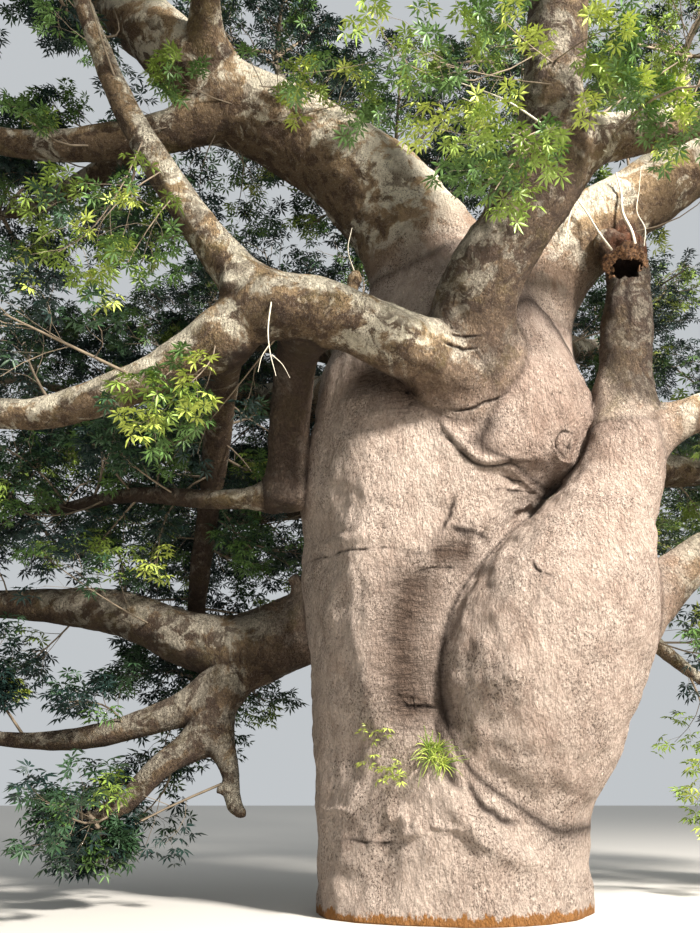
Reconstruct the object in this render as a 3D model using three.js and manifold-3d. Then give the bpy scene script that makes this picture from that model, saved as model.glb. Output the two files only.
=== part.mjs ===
// Baobab tree: a bottle-shaped double trunk, its boughs and the masses of foliage on their tips.
// Units are millimetres. +Z is up, +X is to the right and -Y is the side that faces the viewer.
// The origin is on the flat cut at ground level, under the middle of the trunk.
import * as THREE from "three";
import { mergeVertices } from "three/addons/utils/BufferGeometryUtils.js";
import Module from "manifold-3d";

const wasm = await Module();
wasm.setup();

// Clearance between a piece and the piece that it grows from
const CLEARANCE = 0.35;
// Clearance that a foliage mass keeps to its neighbours' spaces and to the limbs
const MASS_CLEARANCE = 6;
// Points nearer than this are one point
const SAME_POINT = 1e-3;
const UP = new THREE.Vector3(0, 0, 1);

// The trunk stands as rings: [height, middle x, middle y, half width, half depth]
const MAIN_STEM = [
  [0, -60, 40, 1420, 1290],
  [350, -60, 40, 1400, 1270],
  [950, -80, 40, 1385, 1250],
  [1400, -280, 40, 1200, 1220],
  [1900, -520, 40, 1000, 1190],
  [2500, -600, 40, 950, 1180],
  [3200, -530, 40, 1070, 1210],
  [3900, -360, 30, 1300, 1260],
  [4500, -220, 10, 1480, 1300],
  [5200, 10, 0, 1670, 1330],
  [5900, 120, 0, 1670, 1330],
  [6500, 190, 0, 1530, 1250],
  [7100, 330, 0, 1320, 1120],
  [7650, 400, 0, 1020, 900],
  [8050, 420, 0, 620, 560],
];
const SWOLLEN_STEM = [
  [0, 420, -20, 700, 780],
  [500, 470, -50, 730, 810],
  [950, 580, -150, 800, 860],
  [1300, 620, -380, 960, 930],
  [1900, 760, -480, 1110, 1040],
  [2500, 930, -560, 1180, 1090],
  [3150, 1150, -620, 1150, 1060],
  [3700, 1420, -660, 935, 900],
  [4200, 1720, -700, 665, 680],
  [4650, 1970, -750, 490, 500],
  [5050, 2080, -780, 395, 400],
];
// The swollen root of the right and front boughs, which overhangs the main stem like a shoulder
const SHOULDER = [
  [4430, 640, -560, 300, 260],
  [4600, 680, -600, 690, 600],
  [5000, 790, -600, 920, 760],
  [5550, 820, -580, 950, 820],
  [6050, 770, -520, 830, 790],
  [6600, 780, -400, 650, 700],
  [7150, 900, -260, 550, 580],
  [7600, 1000, -160, 360, 380],
];

// Sides of the trunk's rings, and the shallow lobes that turn slowly round it: how many, how deep as a share
// of the radius, and the height over which they turn by one radian
const STEM_RING_SIDES = 18;
const SHOULDER_RING_SIDES = 12;
const LOBES = 5;
const LOBE_DEPTH = 0.025;
const LOBE_TWIST = 900;

// How a limb's curve is divided into rings, and how many root radii its flare dies out over
const STEP_LENGTH = 880;
const FEWEST_STEPS = 3;
const MOST_STEPS = 8;
const FLARE_REACH = 1.6;
const USUAL_TAPER = 0.85;
// Sides of a limb by the radius of its root
const LIMB_SIDES = [
  [500, 11],
  [280, 8],
  [0, 6],
];

// Each limb: its path from root to tip, the radius at both ends, how much its root flares, how evenly it
// tapers and the reach of the foliage mass that its tip carries
const LIMBS = {
  upper_left_bough: {
    path: [[350, 50, 6900], [-150, -120, 8150], [-880, -330, 9130], [-1880, -520, 9860], [-2850, -800, 10250],
      [-3850, -1150, 11050], [-4800, -900, 12300]],
    radius: [960, 330], reach: 2400,
  },
  right_bough: {
    path: [[650, -60, 6200], [1150, -230, 7250], [1700, -350, 7950], [2400, -450, 8480], [3550, -580, 9150],
      [5200, -750, 9750], [6200, -900, 10150]],
    radius: [890, 190], taper: 0.75, reach: 2300,
  },
  front_bough: {
    path: [[640, -500, 5500], [360, -1150, 5850], [340, -1720, 6480], [760, -2180, 7140], [1060, -2420, 7700],
      [1170, -2600, 8500], [1240, -2760, 9300], [1150, -2900, 10300]],
    radius: [600, 240], taper: 0.8, reach: 2000,
  },
  front_left_bough: {
    path: [[330, -950, 5350], [-110, -1480, 5650], [-760, -1700, 5900], [-1400, -1820, 6170],
      [-2050, -1850, 6190], [-2700, -1720, 5800], [-3500, -1580, 5380], [-4600, -1400, 5100],
      [-6000, -1300, 5300]],
    radius: [430, 130], taper: 0.9, reach: 1700,
  },
  low_left_bough: {
    path: [[-650, 450, 3850], [-1500, 850, 3260], [-2250, 930, 2960], [-3050, 1010, 2980],
      [-4000, 1120, 3340], [-5300, 1200, 3500], [-6400, 1300, 3560]],
    radius: [690, 150], taper: 0.62, reach: 1500,
  },
  right_stem: {
    path: [[2030, -750, 4700], [2150, -790, 5400], [2260, -810, 6150], [2370, -810, 6950],
      [2470, -800, 7800]],
    radius: [390, 250],
  },
  middle_bough: {
    path: [[700, 150, 7000], [1450, 600, 8800], [1850, 950, 10500], [1950, 1200, 11700]],
    radius: [560, 200], flare: 0.2, reach: 2300,
  },
  back_left_bough: {
    path: [[-200, 350, 6500], [-1200, 1900, 7900], [-2300, 3500, 8850], [-3300, 4600, 9500]],
    radius: [600, 190], flare: 0.2, reach: 2500,
  },
  back_bough: {
    path: [[200, 500, 6300], [300, 1700, 8200], [100, 2700, 10100], [-100, 3200, 11700]],
    radius: [600, 180], flare: 0.2, reach: 2450,
  },
  back_right_bough: {
    path: [[750, 400, 6500], [1900, 2000, 7750], [2900, 3600, 8700], [3700, 4600, 9300]],
    radius: [560, 180], flare: 0.2, reach: 2500,
  },
  rear_right_limb: {
    path: [[1000, 250, 6250], [1930, 650, 6130], [2500, 930, 5880], [3150, 1250, 5500], [4000, 1500, 5520],
      [5200, 1950, 6000]],
    radius: [430, 120], flare: 0.1, reach: 1900,
  },
  rear_left_limb: {
    path: [[-600, 500, 6300], [-2300, 1900, 6850], [-4000, 2800, 7400], [-5800, 3400, 7700]],
    radius: [420, 110], flare: 0.25, reach: 2250,
  },
  rear_left_low_limb: {
    path: [[-300, 600, 5000], [-1300, 2200, 5350], [-2300, 3500, 5600], [-3000, 4400, 5700]],
    radius: [420, 110], flare: 0.25, reach: 2100,
  },
  rear_right_low_limb: {
    path: [[600, 500, 4900], [2100, 2300, 5250], [3200, 3600, 5600], [3900, 4400, 5900]],
    radius: [400, 110], flare: 0.25, reach: 2000,
  },
  bulge_arm: {
    path: [[1450, -430, 2400], [2280, -330, 3160], [3000, -200, 3750], [4300, 0, 4450], [5500, 100, 4850]],
    radius: [370, 120], flare: 0.1, reach: 1800,
  },
  bulge_rear_arm: {
    path: [[1300, 0, 3500], [2450, 830, 3180], [3300, 1170, 2600], [4150, 1450, 2200]],
    radius: [165, 65], flare: 0.3, reach: 1200,
  },
  far_left_limb: {
    path: [[-2750, -800, 10050], [-3400, -880, 9650], [-4300, -850, 9430], [-5700, -850, 9400],
      [-6700, -1000, 9650]],
    radius: [330, 150], flare: 0.1, reach: 1900,
  },
  high_left_rear_limb: {
    path: [[-3000, -650, 10150], [-4000, -100, 10150], [-5100, 500, 9950], [-6200, 1200, 9950]],
    radius: [300, 120], flare: 0.1, reach: 1900,
  },
  upper_riser: {
    path: [[-1750, -400, 9800], [-1850, 0, 10800], [-2150, 600, 11800]],
    radius: [190, 110], flare: 0.3, reach: 2200,
  },
  rising_left_limb: {
    path: [[-2000, -1850, 6150], [-2620, -1900, 6900], [-3220, -1920, 7800], [-3850, -2050, 8900],
      [-4350, -2450, 10050]],
    radius: [285, 115], reach: 1800,
  },
  hanging_limb: {
    path: [[-1550, -1650, 6150], [-1780, -950, 5950], [-1880, -500, 5350], [-1900, -300, 4380]],
    radius: [290, 200], flare: 0.1,
  },
  hanging_limb_arm: {
    path: [[-1850, -280, 4530], [-2700, -120, 4520], [-3900, 350, 4750], [-5400, 1400, 4900]],
    radius: [150, 70], flare: 0.1, reach: 1700,
  },
  rear_hanging_limb: {
    path: [[-2500, -1700, 5850], [-2750, -300, 5950], [-3000, 900, 5150], [-3250, 1750, 3950],
      [-3350, 2300, 3150]],
    radius: [240, 120], reach: 1500,
  },
  low_left_fork: {
    path: [[-2150, 900, 2850], [-2750, 800, 2360], [-3450, 680, 2010], [-4350, 540, 1760],
      [-5200, 420, 1750]],
    radius: [270, 90], reach: 1100,
  },
  low_left_droop: {
    path: [[-2720, 800, 2300], [-2900, 700, 1800], [-3350, 500, 1430], [-3750, 350, 980]],
    radius: [230, 110], reach: 800,
  },
  low_left_stub: {
    path: [[-2780, 760, 1950], [-2560, 620, 1500], [-2450, 520, 980]],
    radius: [170, 80],
  },
  front_right_limb: {
    path: [[950, -2350, 7450], [1650, -2420, 7980], [2600, -2560, 8120], [3800, -2750, 8500]],
    radius: [340, 130], reach: 1900,
  },
  front_overhead_limb: {
    path: [[1200, -2700, 9200], [1500, -3500, 10100], [1350, -4500, 10700]],
    radius: [200, 120], flare: 0.2, reach: 1900,
  },
  left_overhead_limb: {
    path: [[-3000, -850, 10300], [-3000, -2000, 10900], [-2500, -3300, 11300]],
    radius: [260, 130], flare: 0.2, reach: 2000,
  },
  right_riser: {
    path: [[3050, -450, 8950], [3700, -50, 10200], [4100, 350, 11300]],
    radius: [260, 140], flare: 0.2, reach: 2200,
  },
  right_stem_arm: {
    path: [[2120, -780, 4900], [2750, -820, 5250], [3900, -900, 5700], [5200, -1150, 6350]],
    radius: [270, 120], flare: 0.1, reach: 1900,
  },
};

// Foliage rule: a stem runs from the limb's tip to the crown of the mass, twigs spread from it to points that
// lie evenly round the mass, and each twig carries leaf sprays at its sides and its end.
// Shares are of the mass's reach unless a comment says otherwise.
const MASS_HEIGHT_SHARE = 0.78;
const MIDDLE_BEYOND_TIP = 0.62;
const MIDDLE_LIFT = 0.12;
const LEAST_HEIGHT = 250;
const CROWN_LIFT = 0.1;
const FOOT_SHARE = 0.9;
const KNEE_RADIUS_SHARE = 0.62;
const STEM_SIDES = 5;
const TWIG_SIDES = 3;
const SMALLEST_DETAIL = 5;
const KNEE_ALONG_STEM = 0.45;
const KNEE_PUSH = 0.12;
const FEWEST_TWIGS = 2;
const REACH_PER_TWIG = 620;
const TURN_SCATTER = 0.6;
const HIGHEST_TWIG_START = 0.9;
const TWIG_REACH = 0.55;
const TWIG_RADII = [42, 20];
const SIDE_SPRAY_STARTS = [0.35, 0.7];
const SIDE_SPRAY_SPREAD = [0.75, 0.5];
const SPRAY_SCATTER = 0.35;
const SPRAY_LENGTH = 0.62;
const SPRAY_LENGTH_SCATTER = 0.14;
const END_SPRAY_START = 0.9;
const END_SPRAY_LENGTH = 0.48;
// Shares of the spray's length
const SPRAY_WIDTH = 0.74;
const SPRAY_THICKNESS = 0.04;
const SPRAY_WIDEST = 0.55;
const GOLDEN_ANGLE = Math.PI * (3 - Math.sqrt(5));

const bark = new THREE.MeshStandardMaterial({ color: 0xb3a08c, roughness: 0.85, metalness: 0 });
const foliage = new THREE.MeshStandardMaterial({ color: 0x5f8a3a, roughness: 0.6, metalness: 0 });

// A repeatable random number generator, so that the tree grows the same way every time
const RANDOM_FACTOR = 1664525;
const RANDOM_STEP = 1013904223;
const RANDOM_RANGE = 2 ** 32;
const FIRST_SEED = 101;
const SEED_STEP = 17;
function randomFrom(seed) {
  let state = seed >>> 0;
  return () => {
    state = (Math.imul(state, RANDOM_FACTOR) + RANDOM_STEP) >>> 0;
    return state / RANDOM_RANGE;
  };
}

function closedGeometry(corners, faces) {
  const geometry = new THREE.BufferGeometry();
  const positions = corners.flatMap((p) => [p.x, p.y, p.z]);
  geometry.setAttribute("position", new THREE.Float32BufferAttribute(positions, 3));
  geometry.setIndex(faces);
  return geometry;
}

// A closed geometry from rings of equal count, with a flat fan over the first and the last ring
function loft(rings) {
  const sides = rings[0].length;
  const faces = [];
  for (let ring = 0; ring + 1 < rings.length; ring += 1) {
    for (let side = 0; side < sides; side += 1) {
      const a = ring * sides + side;
      const b = ring * sides + ((side + 1) % sides);
      faces.push(a, b, b + sides, a, b + sides, a + sides);
    }
  }
  const last = (rings.length - 1) * sides;
  for (let side = 1; side + 1 < sides; side += 1) {
    faces.push(0, side + 1, side);
    faces.push(last, last + side, last + side + 1);
  }
  return closedGeometry(rings.flat(), faces);
}

function toSolid(geometry) {
  const merged = mergeVertices(geometry, SAME_POINT);
  return new wasm.Manifold(
    new wasm.Mesh({
      numProp: 3,
      vertProperties: merged.attributes.position.array,
      triVerts: new Uint32Array(merged.index.array),
    }),
  );
}

function toGeometry(solid) {
  const mesh = solid.getMesh();
  const positions = new Float32Array(mesh.numVert * 3);
  for (let vertex = 0; vertex < mesh.numVert; vertex += 1) {
    const start = vertex * mesh.numProp;
    positions.set(mesh.vertProperties.subarray(start, start + 3), vertex * 3);
  }
  const geometry = new THREE.BufferGeometry();
  geometry.setAttribute("position", new THREE.BufferAttribute(positions, 3));
  geometry.setIndex(new THREE.BufferAttribute(new Uint32Array(mesh.triVerts), 1));
  return geometry;
}

// Level rings with a gently lobed outline, as on a fluted trunk
function stemSolid(stations, sides, grow) {
  const last = stations.length - 1;
  const rings = stations.map(([height, x, y, halfWidth, halfDepth], index) => {
    const lift = index === last ? grow : 0;
    return Array.from({ length: sides }, (_, side) => {
      const angle = (side / sides) * Math.PI * 2;
      const lobe = 1 + LOBE_DEPTH * Math.cos(LOBES * angle + height / LOBE_TWIST);
      return new THREE.Vector3(
        x + (halfWidth * lobe + grow) * Math.cos(angle),
        y + (halfDepth * lobe + grow) * Math.sin(angle),
        height + lift,
      );
    });
  });
  return toSolid(loft(rings));
}

function trunkSolid(grow) {
  return stemSolid(MAIN_STEM, STEM_RING_SIDES, grow)
    .add(stemSolid(SWOLLEN_STEM, STEM_RING_SIDES, grow))
    .add(stemSolid(SHOULDER, SHOULDER_RING_SIDES, grow));
}

// Rings square to a path, each turned as little as possible from the one before
function ringsAlong(points, headings, radii, sides) {
  let across = new THREE.Vector3().crossVectors(headings[0], UP);
  if (across.lengthSq() < SAME_POINT) across = new THREE.Vector3(1, 0, 0);
  return points.map((point, index) => {
    const heading = headings[index];
    across.addScaledVector(heading, -across.dot(heading)).normalize();
    const second = new THREE.Vector3().crossVectors(heading, across);
    return Array.from({ length: sides }, (_, side) => {
      const angle = (side / sides) * Math.PI * 2;
      return point
        .clone()
        .addScaledVector(across, radii[index] * Math.cos(angle))
        .addScaledVector(second, radii[index] * Math.sin(angle));
    });
  });
}

// One limb as stations along a smooth curve: where it is, where it heads and how thick it is there
function limbStations({ path, radius, flare = 0, taper = USUAL_TAPER }) {
  const curve = new THREE.CatmullRomCurve3(path.map((p) => new THREE.Vector3(...p)), false, "centripetal");
  const length = curve.getLength();
  const steps = Math.max(FEWEST_STEPS, Math.min(MOST_STEPS, Math.round(length / STEP_LENGTH)));
  const [rootRadius, tipRadius] = radius;
  const points = [];
  const headings = [];
  const radii = [];
  for (let step = 0; step <= steps; step += 1) {
    const share = step / steps;
    const fromRoot = share * length;
    const flared = 1 + flare * Math.exp(-fromRoot / (FLARE_REACH * rootRadius));
    points.push(curve.getPointAt(share));
    headings.push(curve.getTangentAt(share));
    radii.push((tipRadius + (rootRadius - tipRadius) * (1 - share ** taper)) * flared);
  }
  return { points, headings, radii, length };
}

function limbSides(radius) {
  return LIMB_SIDES.find(([leastRadius]) => radius >= leastRadius)[1];
}

function limbSolid(stations, grow) {
  const { points, headings, radii } = stations;
  const last = points.length - 1;
  const ends = points.map((p) => p.clone());
  ends[0].addScaledVector(headings[0], -grow);
  ends[last].addScaledVector(headings[last], grow);
  const rings = ringsAlong(ends, headings, radii.map((r) => r + grow), limbSides(radii[0]));
  return toSolid(loft(rings));
}

function largestBody(solid) {
  const bodies = solid.decompose();
  return bodies.reduce((best, body) => (body.volume() > best.volume() ? body : best));
}

function boxesMeet(a, b) {
  const one = a.boundingBox();
  const two = b.boundingBox();
  return [0, 1, 2].every((k) => one.min[k] <= two.max[k] && two.min[k] <= one.max[k]);
}

// Each limb is cut by the trunk and by the limbs before it, which stand CLEARANCE larger for the cut
function buildWood() {
  const wood = new Map();
  wood.set("trunk", {
    solid: trunkSolid(0),
    cutter: trunkSolid(CLEARANCE),
    guard: trunkSolid(MASS_CLEARANCE),
  });
  for (const [name, limb] of Object.entries(LIMBS)) {
    const stations = limbStations(limb);
    let solid = limbSolid(stations, 0);
    for (const { cutter } of wood.values()) {
      if (boxesMeet(solid, cutter)) solid = solid.subtract(cutter);
    }
    wood.set(name, {
      solid: largestBody(solid),
      cutter: limbSolid(stations, CLEARANCE),
      guard: limbSolid(stations, MASS_CLEARANCE),
      stations,
    });
  }
  return wood;
}

// Where each mass sits: its foot on the limb's tip, its middle and its reach
function massSpaces(wood) {
  const spaces = [];
  for (const [name, limb] of Object.entries(LIMBS)) {
    if (!limb.reach) continue;
    const { points, headings, radii } = wood.get(name).stations;
    const tip = points[points.length - 1];
    const heading = headings[headings.length - 1];
    const middle = tip.clone().addScaledVector(heading, MIDDLE_BEYOND_TIP * limb.reach);
    middle.z += MIDDLE_LIFT * limb.reach;
    middle.z = Math.max(middle.z, MASS_HEIGHT_SHARE * limb.reach + LEAST_HEIGHT);
    const radius = radii[radii.length - 1] * FOOT_SHARE;
    spaces.push({ name, tip, heading, middle, reach: limb.reach, radius });
  }
  return spaces;
}

// A point is in a mass's space when it lies in its flattened ball and on its own side of every neighbour
function insideSpace(space, spaces, point) {
  const offset = point.clone().sub(space.middle);
  const ball = Math.hypot(offset.x, offset.y, offset.z / MASS_HEIGHT_SHARE) / space.reach;
  if (ball > 1) return false;
  return spaces.every((other) => {
    if (other === space) return true;
    const apart = other.middle.clone().sub(space.middle);
    const distance = apart.length();
    const share = space.reach / (space.reach + other.reach);
    return offset.dot(apart) / distance < distance * share - MASS_CLEARANCE;
  });
}

function twigSolid(points, radii, sides) {
  const headings = points.map((_, index) => {
    const before = points[Math.max(0, index - 1)];
    const after = points[Math.min(points.length - 1, index + 1)];
    return after.clone().sub(before).normalize();
  });
  return toSolid(loft(ringsAlong(points, headings, radii, sides)));
}

// A spray of leaves as one blade of eight faces, pointed at both ends
function spraySolid(foot, heading, roll, length) {
  const across = new THREE.Vector3().crossVectors(heading, UP).normalize().applyAxisAngle(heading, roll);
  const face = new THREE.Vector3().crossVectors(across, heading);
  const widest = foot.clone().addScaledVector(heading, length * SPRAY_WIDEST);
  const half = (length * SPRAY_WIDTH) / 2;
  const thick = (length * SPRAY_THICKNESS) / 2;
  const corners = [
    foot,
    widest.clone().addScaledVector(across, half),
    widest.clone().addScaledVector(face, thick),
    widest.clone().addScaledVector(across, -half),
    widest.clone().addScaledVector(face, -thick),
    foot.clone().addScaledVector(heading, length),
  ];
  const faces = [0, 1, 2, 0, 2, 3, 0, 3, 4, 0, 4, 1, 5, 2, 1, 5, 3, 2, 5, 4, 3, 5, 1, 4];
  return { solid: toSolid(closedGeometry(corners, faces)), corners };
}

// The stem of a mass: from the limb's tip over a knee to the crown of the mass
function massStem(space) {
  const foot = space.tip.clone().addScaledVector(space.heading, CLEARANCE);
  const crown = space.middle.clone();
  crown.z += CROWN_LIFT * space.reach;
  const knee = foot.clone().lerp(crown, KNEE_ALONG_STEM);
  knee.addScaledVector(space.heading, KNEE_PUSH * space.reach);
  const headings = [space.heading, crown.clone().sub(foot).normalize(), crown.clone().sub(knee).normalize()];
  const radii = [space.radius, space.radius * KNEE_RADIUS_SHARE, TWIG_RADII[0]];
  const solid = toSolid(loft(ringsAlong([foot, knee, crown], headings, radii, STEM_SIDES)));
  return { knee, crown, solid };
}

// Where each twig of a mass starts and ends
function massTwigs(space, stem, random) {
  const count = Math.round(FEWEST_TWIGS + space.reach / REACH_PER_TWIG);
  return Array.from({ length: count }, (_, twig) => {
    const height = 1 - (2 * (twig + 0.5)) / count;
    const turn = twig * GOLDEN_ANGLE + random() * TURN_SCATTER;
    const out = Math.sqrt(1 - height * height);
    const toward = new THREE.Vector3(out * Math.cos(turn), out * Math.sin(turn), height * MASS_HEIGHT_SHARE);
    const start = stem.knee.clone().lerp(stem.crown, HIGHEST_TWIG_START * random());
    const end = space.middle.clone().addScaledVector(toward, space.reach * TWIG_REACH);
    return { start, end };
  });
}

// The whole of one mass, fused into one body. A twig or spray that would leave the mass's space or touch a
// limb is left out.
function massSolid(space, spaces, wood, seed) {
  const random = randomFrom(seed);
  const guards = [...wood.values()].map((piece) => piece.guard);
  const stem = massStem(space);
  const parts = [stem.solid];
  const keep = (solid, corners) => {
    if (!corners.every((corner) => insideSpace(space, spaces, corner))) return false;
    const clash = guards.some((guard) => boxesMeet(solid, guard) && !solid.intersect(guard).isEmpty());
    if (!clash) parts.push(solid);
    return !clash;
  };
  const addSpray = (start, heading, share) => {
    const roll = random() * Math.PI;
    const length = space.reach * share;
    const spray = spraySolid(start, heading.normalize(), roll, length);
    keep(spray.solid, spray.corners.slice(1));
  };
  for (const { start, end } of massTwigs(space, stem, random)) {
    const along = end.clone().sub(start).normalize();
    const side = new THREE.Vector3().crossVectors(along, UP).normalize();
    if (!keep(twigSolid([start, end], TWIG_RADII, TWIG_SIDES), [end])) continue;
    SIDE_SPRAY_STARTS.forEach((at, index) => {
      const sign = index % 2 === 0 ? -1 : 1;
      const spread = SIDE_SPRAY_SPREAD[0] + SIDE_SPRAY_SPREAD[1] * random();
      const heading = along.clone().addScaledVector(side, sign * spread);
      heading.z += SPRAY_SCATTER * (random() - 0.5);
      addSpray(start.clone().lerp(end, at), heading, SPRAY_LENGTH - SPRAY_LENGTH_SCATTER * random());
    });
    const forward = along.clone();
    forward.z += SPRAY_SCATTER * (random() - 0.5);
    addSpray(start.clone().lerp(end, END_SPRAY_START), forward, END_SPRAY_LENGTH);
  }
  return largestBody(wasm.Manifold.union(parts)).simplify(SMALLEST_DETAIL);
}

function addPiece(tree, name, solid, material) {
  const mesh = new THREE.Mesh(toGeometry(solid), material);
  mesh.name = name;
  tree.add(mesh);
}

function buildTree() {
  const tree = new THREE.Group();
  const wood = buildWood();
  for (const [name, { solid }] of wood) addPiece(tree, name, solid, bark);
  const spaces = massSpaces(wood);
  spaces.forEach((space, index) => {
    const solid = massSolid(space, spaces, wood, FIRST_SEED + index * SEED_STEP);
    addPiece(tree, `${space.name}_foliage`, solid, foliage);
  });
  return tree;
}

export default buildTree();
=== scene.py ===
# %% [markdown]
# # A baobab tree, dressed over its plain model
# The plain model holds the tree's true shape: a bottle-shaped double trunk, its boughs and the spaces of its
# foliage. This lesson gives it bark, fine twigs and leaves. Everything is in metres, with the flat cut of the
# trunk at ground level on the origin.

# %% Load the plain model
import math

import bmesh
import bpy
import numpy as np
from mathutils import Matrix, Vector
from mathutils.bvhtree import BVHTree


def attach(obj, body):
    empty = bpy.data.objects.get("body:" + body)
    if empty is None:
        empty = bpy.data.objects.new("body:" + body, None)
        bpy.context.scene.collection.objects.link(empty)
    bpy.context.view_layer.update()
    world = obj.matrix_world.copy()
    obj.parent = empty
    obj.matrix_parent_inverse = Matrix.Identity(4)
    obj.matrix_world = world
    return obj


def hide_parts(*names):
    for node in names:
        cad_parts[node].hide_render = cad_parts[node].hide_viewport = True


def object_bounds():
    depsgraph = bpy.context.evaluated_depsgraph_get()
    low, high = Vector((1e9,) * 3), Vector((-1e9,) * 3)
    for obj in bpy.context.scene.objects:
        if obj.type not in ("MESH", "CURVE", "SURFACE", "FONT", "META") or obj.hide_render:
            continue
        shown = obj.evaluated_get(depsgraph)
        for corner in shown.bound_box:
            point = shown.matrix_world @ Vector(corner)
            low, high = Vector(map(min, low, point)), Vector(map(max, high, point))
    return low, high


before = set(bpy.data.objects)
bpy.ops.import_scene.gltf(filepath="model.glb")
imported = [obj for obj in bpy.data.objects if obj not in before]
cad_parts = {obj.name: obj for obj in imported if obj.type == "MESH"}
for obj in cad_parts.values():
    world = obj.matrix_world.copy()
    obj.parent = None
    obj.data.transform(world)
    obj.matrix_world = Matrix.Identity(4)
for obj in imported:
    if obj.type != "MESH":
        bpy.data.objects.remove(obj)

cad_box = [list(corner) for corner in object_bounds()]
print("nodes:", len(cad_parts), "box:", cad_box)

# %% [markdown]
# ## The camera
# The tree fills far more than the picture, and it was seen from close by, with the camera tilted well up. A
# camera can be framed by hand until it looks right. Here its place was worked out instead: the tilt from the
# level line, the distance from the size of the leaves.

# %% Camera
CAMERA_PLACE = (-1.12, -10.0, 1.08)
CAMERA_TILT = 21.452
FOCAL_PIXELS = 850
FRAME_SIZE = (700, 933)
SENSOR_WIDTH = 36
FARTHEST_SEEN = 500

bpy.ops.object.select_all(action="DESELECT")
tilt = math.radians(90 + CAMERA_TILT)
bpy.ops.object.camera_add(location=CAMERA_PLACE, rotation=(tilt, 0, 0))
camera = bpy.context.object
camera.data.sensor_width = SENSOR_WIDTH
camera.data.lens = SENSOR_WIDTH * FOCAL_PIXELS / FRAME_SIZE[1]
camera.data.clip_end = FARTHEST_SEEN
bpy.context.scene.camera = camera
print("lens:", round(camera.data.lens, 2), "mm")

# %% [markdown]
# ## Colours and nodes
# Colours are read off as sRGB hex values, but shaders work in linear light, so one function turns them over.
# Another adds a node with its settings and links. Each material is then a short list of calls.

# %% Helpers for materials
def shade(hex_colour):
    parts = [int(hex_colour[k:k + 2], 16) / 255 for k in (1, 3, 5)]
    return [c / 12.92 if c <= 0.04045 else ((c + 0.055) / 1.055) ** 2.4 for c in parts] + [1]


def add_node(material, kind, sockets=None, **settings):
    node = material.node_tree.nodes.new(kind)
    for name, value in settings.items():
        setattr(node, name, value)
    for name, value in (sockets or {}).items():
        if isinstance(value, bpy.types.NodeSocket):
            material.node_tree.links.new(value, node.inputs[name])
        else:
            node.inputs[name].default_value = value
    return node


def new_material(name):
    material = bpy.data.materials.new(name)
    material.use_nodes = True
    return material, material.node_tree.nodes["Principled BSDF"]


print("mid grey is", [round(c, 3) for c in shade("#808080")])

# %% [markdown]
# ## Floor and light
# The floor and the light only show the tree off, so both stay plain: a wide pale sheet, one broad lamp high on
# the right in front, and an even pale light from all round. A point of light would throw sharp shadows; a lamp
# three metres wide softens their edges, and the even light keeps the bark readable on its dark side too.

# %% Floor, lamp and even light
FLOOR_SIZE = 400
LAMP_PLACE = (12.3, -14.7, 15.6)
LAMP_TARGET = (0.0, 0.0, 4.5)
LAMP_SIZE = 3.0
LAMP_POWER = 20000
EVEN_LIGHT_STRENGTH = 0.66

bpy.ops.mesh.primitive_plane_add(size=FLOOR_SIZE)
floor = bpy.context.object
floor.name = "floor"
floor_paint, shader = new_material("pale matt floor paint")
shader.inputs["Base Color"].default_value = shade("#c6c2bb")
shader.inputs["Roughness"].default_value = 0.9
floor.data.materials.append(floor_paint)

bpy.ops.object.light_add(type="AREA", location=LAMP_PLACE)
lamp = bpy.context.object
lamp.data.energy = LAMP_POWER
lamp.data.size = LAMP_SIZE
lamp.data.color = shade("#fffaf3")[:3]
aim = Vector(LAMP_TARGET) - Vector(LAMP_PLACE)
lamp.rotation_euler = aim.to_track_quat("-Z", "Y").to_euler()

even_light = bpy.data.worlds.new("even studio light")
bpy.context.scene.world = even_light
even_light.use_nodes = True
background = even_light.node_tree.nodes["Background"]
background.inputs["Color"].default_value = shade("#e9eef2")
background.inputs["Strength"].default_value = EVEN_LIGHT_STRENGTH
bpy.context.scene.view_settings.view_transform = "Standard"
print("lamp is", round(aim.length, 1), "m away")

# %% [markdown]
# ## The sizes of the wood
# The same named sizes shape the plain model. The trunk is three stacks of level rings: the main stem, the
# swollen stem beside it and the shoulder that the right and front boughs grow from. Each limb is a smooth
# path with a radius at its root and at its tip.

# %% Rings of the trunk: height, middle x, middle y, half width, half depth
MAIN_STEM = [
    [0.00, -0.06, 0.04, 1.420, 1.290], [0.35, -0.06, 0.04, 1.400, 1.270],
    [0.95, -0.08, 0.04, 1.385, 1.250], [1.40, -0.28, 0.04, 1.200, 1.220],
    [1.90, -0.52, 0.04, 1.000, 1.190], [2.50, -0.60, 0.04, 0.950, 1.180],
    [3.20, -0.53, 0.04, 1.070, 1.210], [3.90, -0.36, 0.03, 1.300, 1.260],
    [4.50, -0.22, 0.01, 1.480, 1.300], [5.20, 0.01, 0.00, 1.670, 1.330],
    [5.90, 0.12, 0.00, 1.670, 1.330], [6.50, 0.19, 0.00, 1.530, 1.250],
    [7.10, 0.33, 0.00, 1.320, 1.120], [7.65, 0.40, 0.00, 1.020, 0.900],
    [8.05, 0.42, 0.00, 0.620, 0.560],
]
SWOLLEN_STEM = [
    [0.00, 0.42, -0.02, 0.700, 0.780], [0.50, 0.47, -0.05, 0.730, 0.810],
    [0.95, 0.58, -0.15, 0.800, 0.860], [1.30, 0.62, -0.38, 0.960, 0.930],
    [1.90, 0.76, -0.48, 1.110, 1.040], [2.50, 0.93, -0.56, 1.180, 1.090],
    [3.15, 1.15, -0.62, 1.150, 1.060], [3.70, 1.42, -0.66, 0.935, 0.900],
    [4.20, 1.72, -0.70, 0.665, 0.680], [4.65, 1.97, -0.75, 0.490, 0.500],
    [5.05, 2.08, -0.78, 0.395, 0.400],
]
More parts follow.
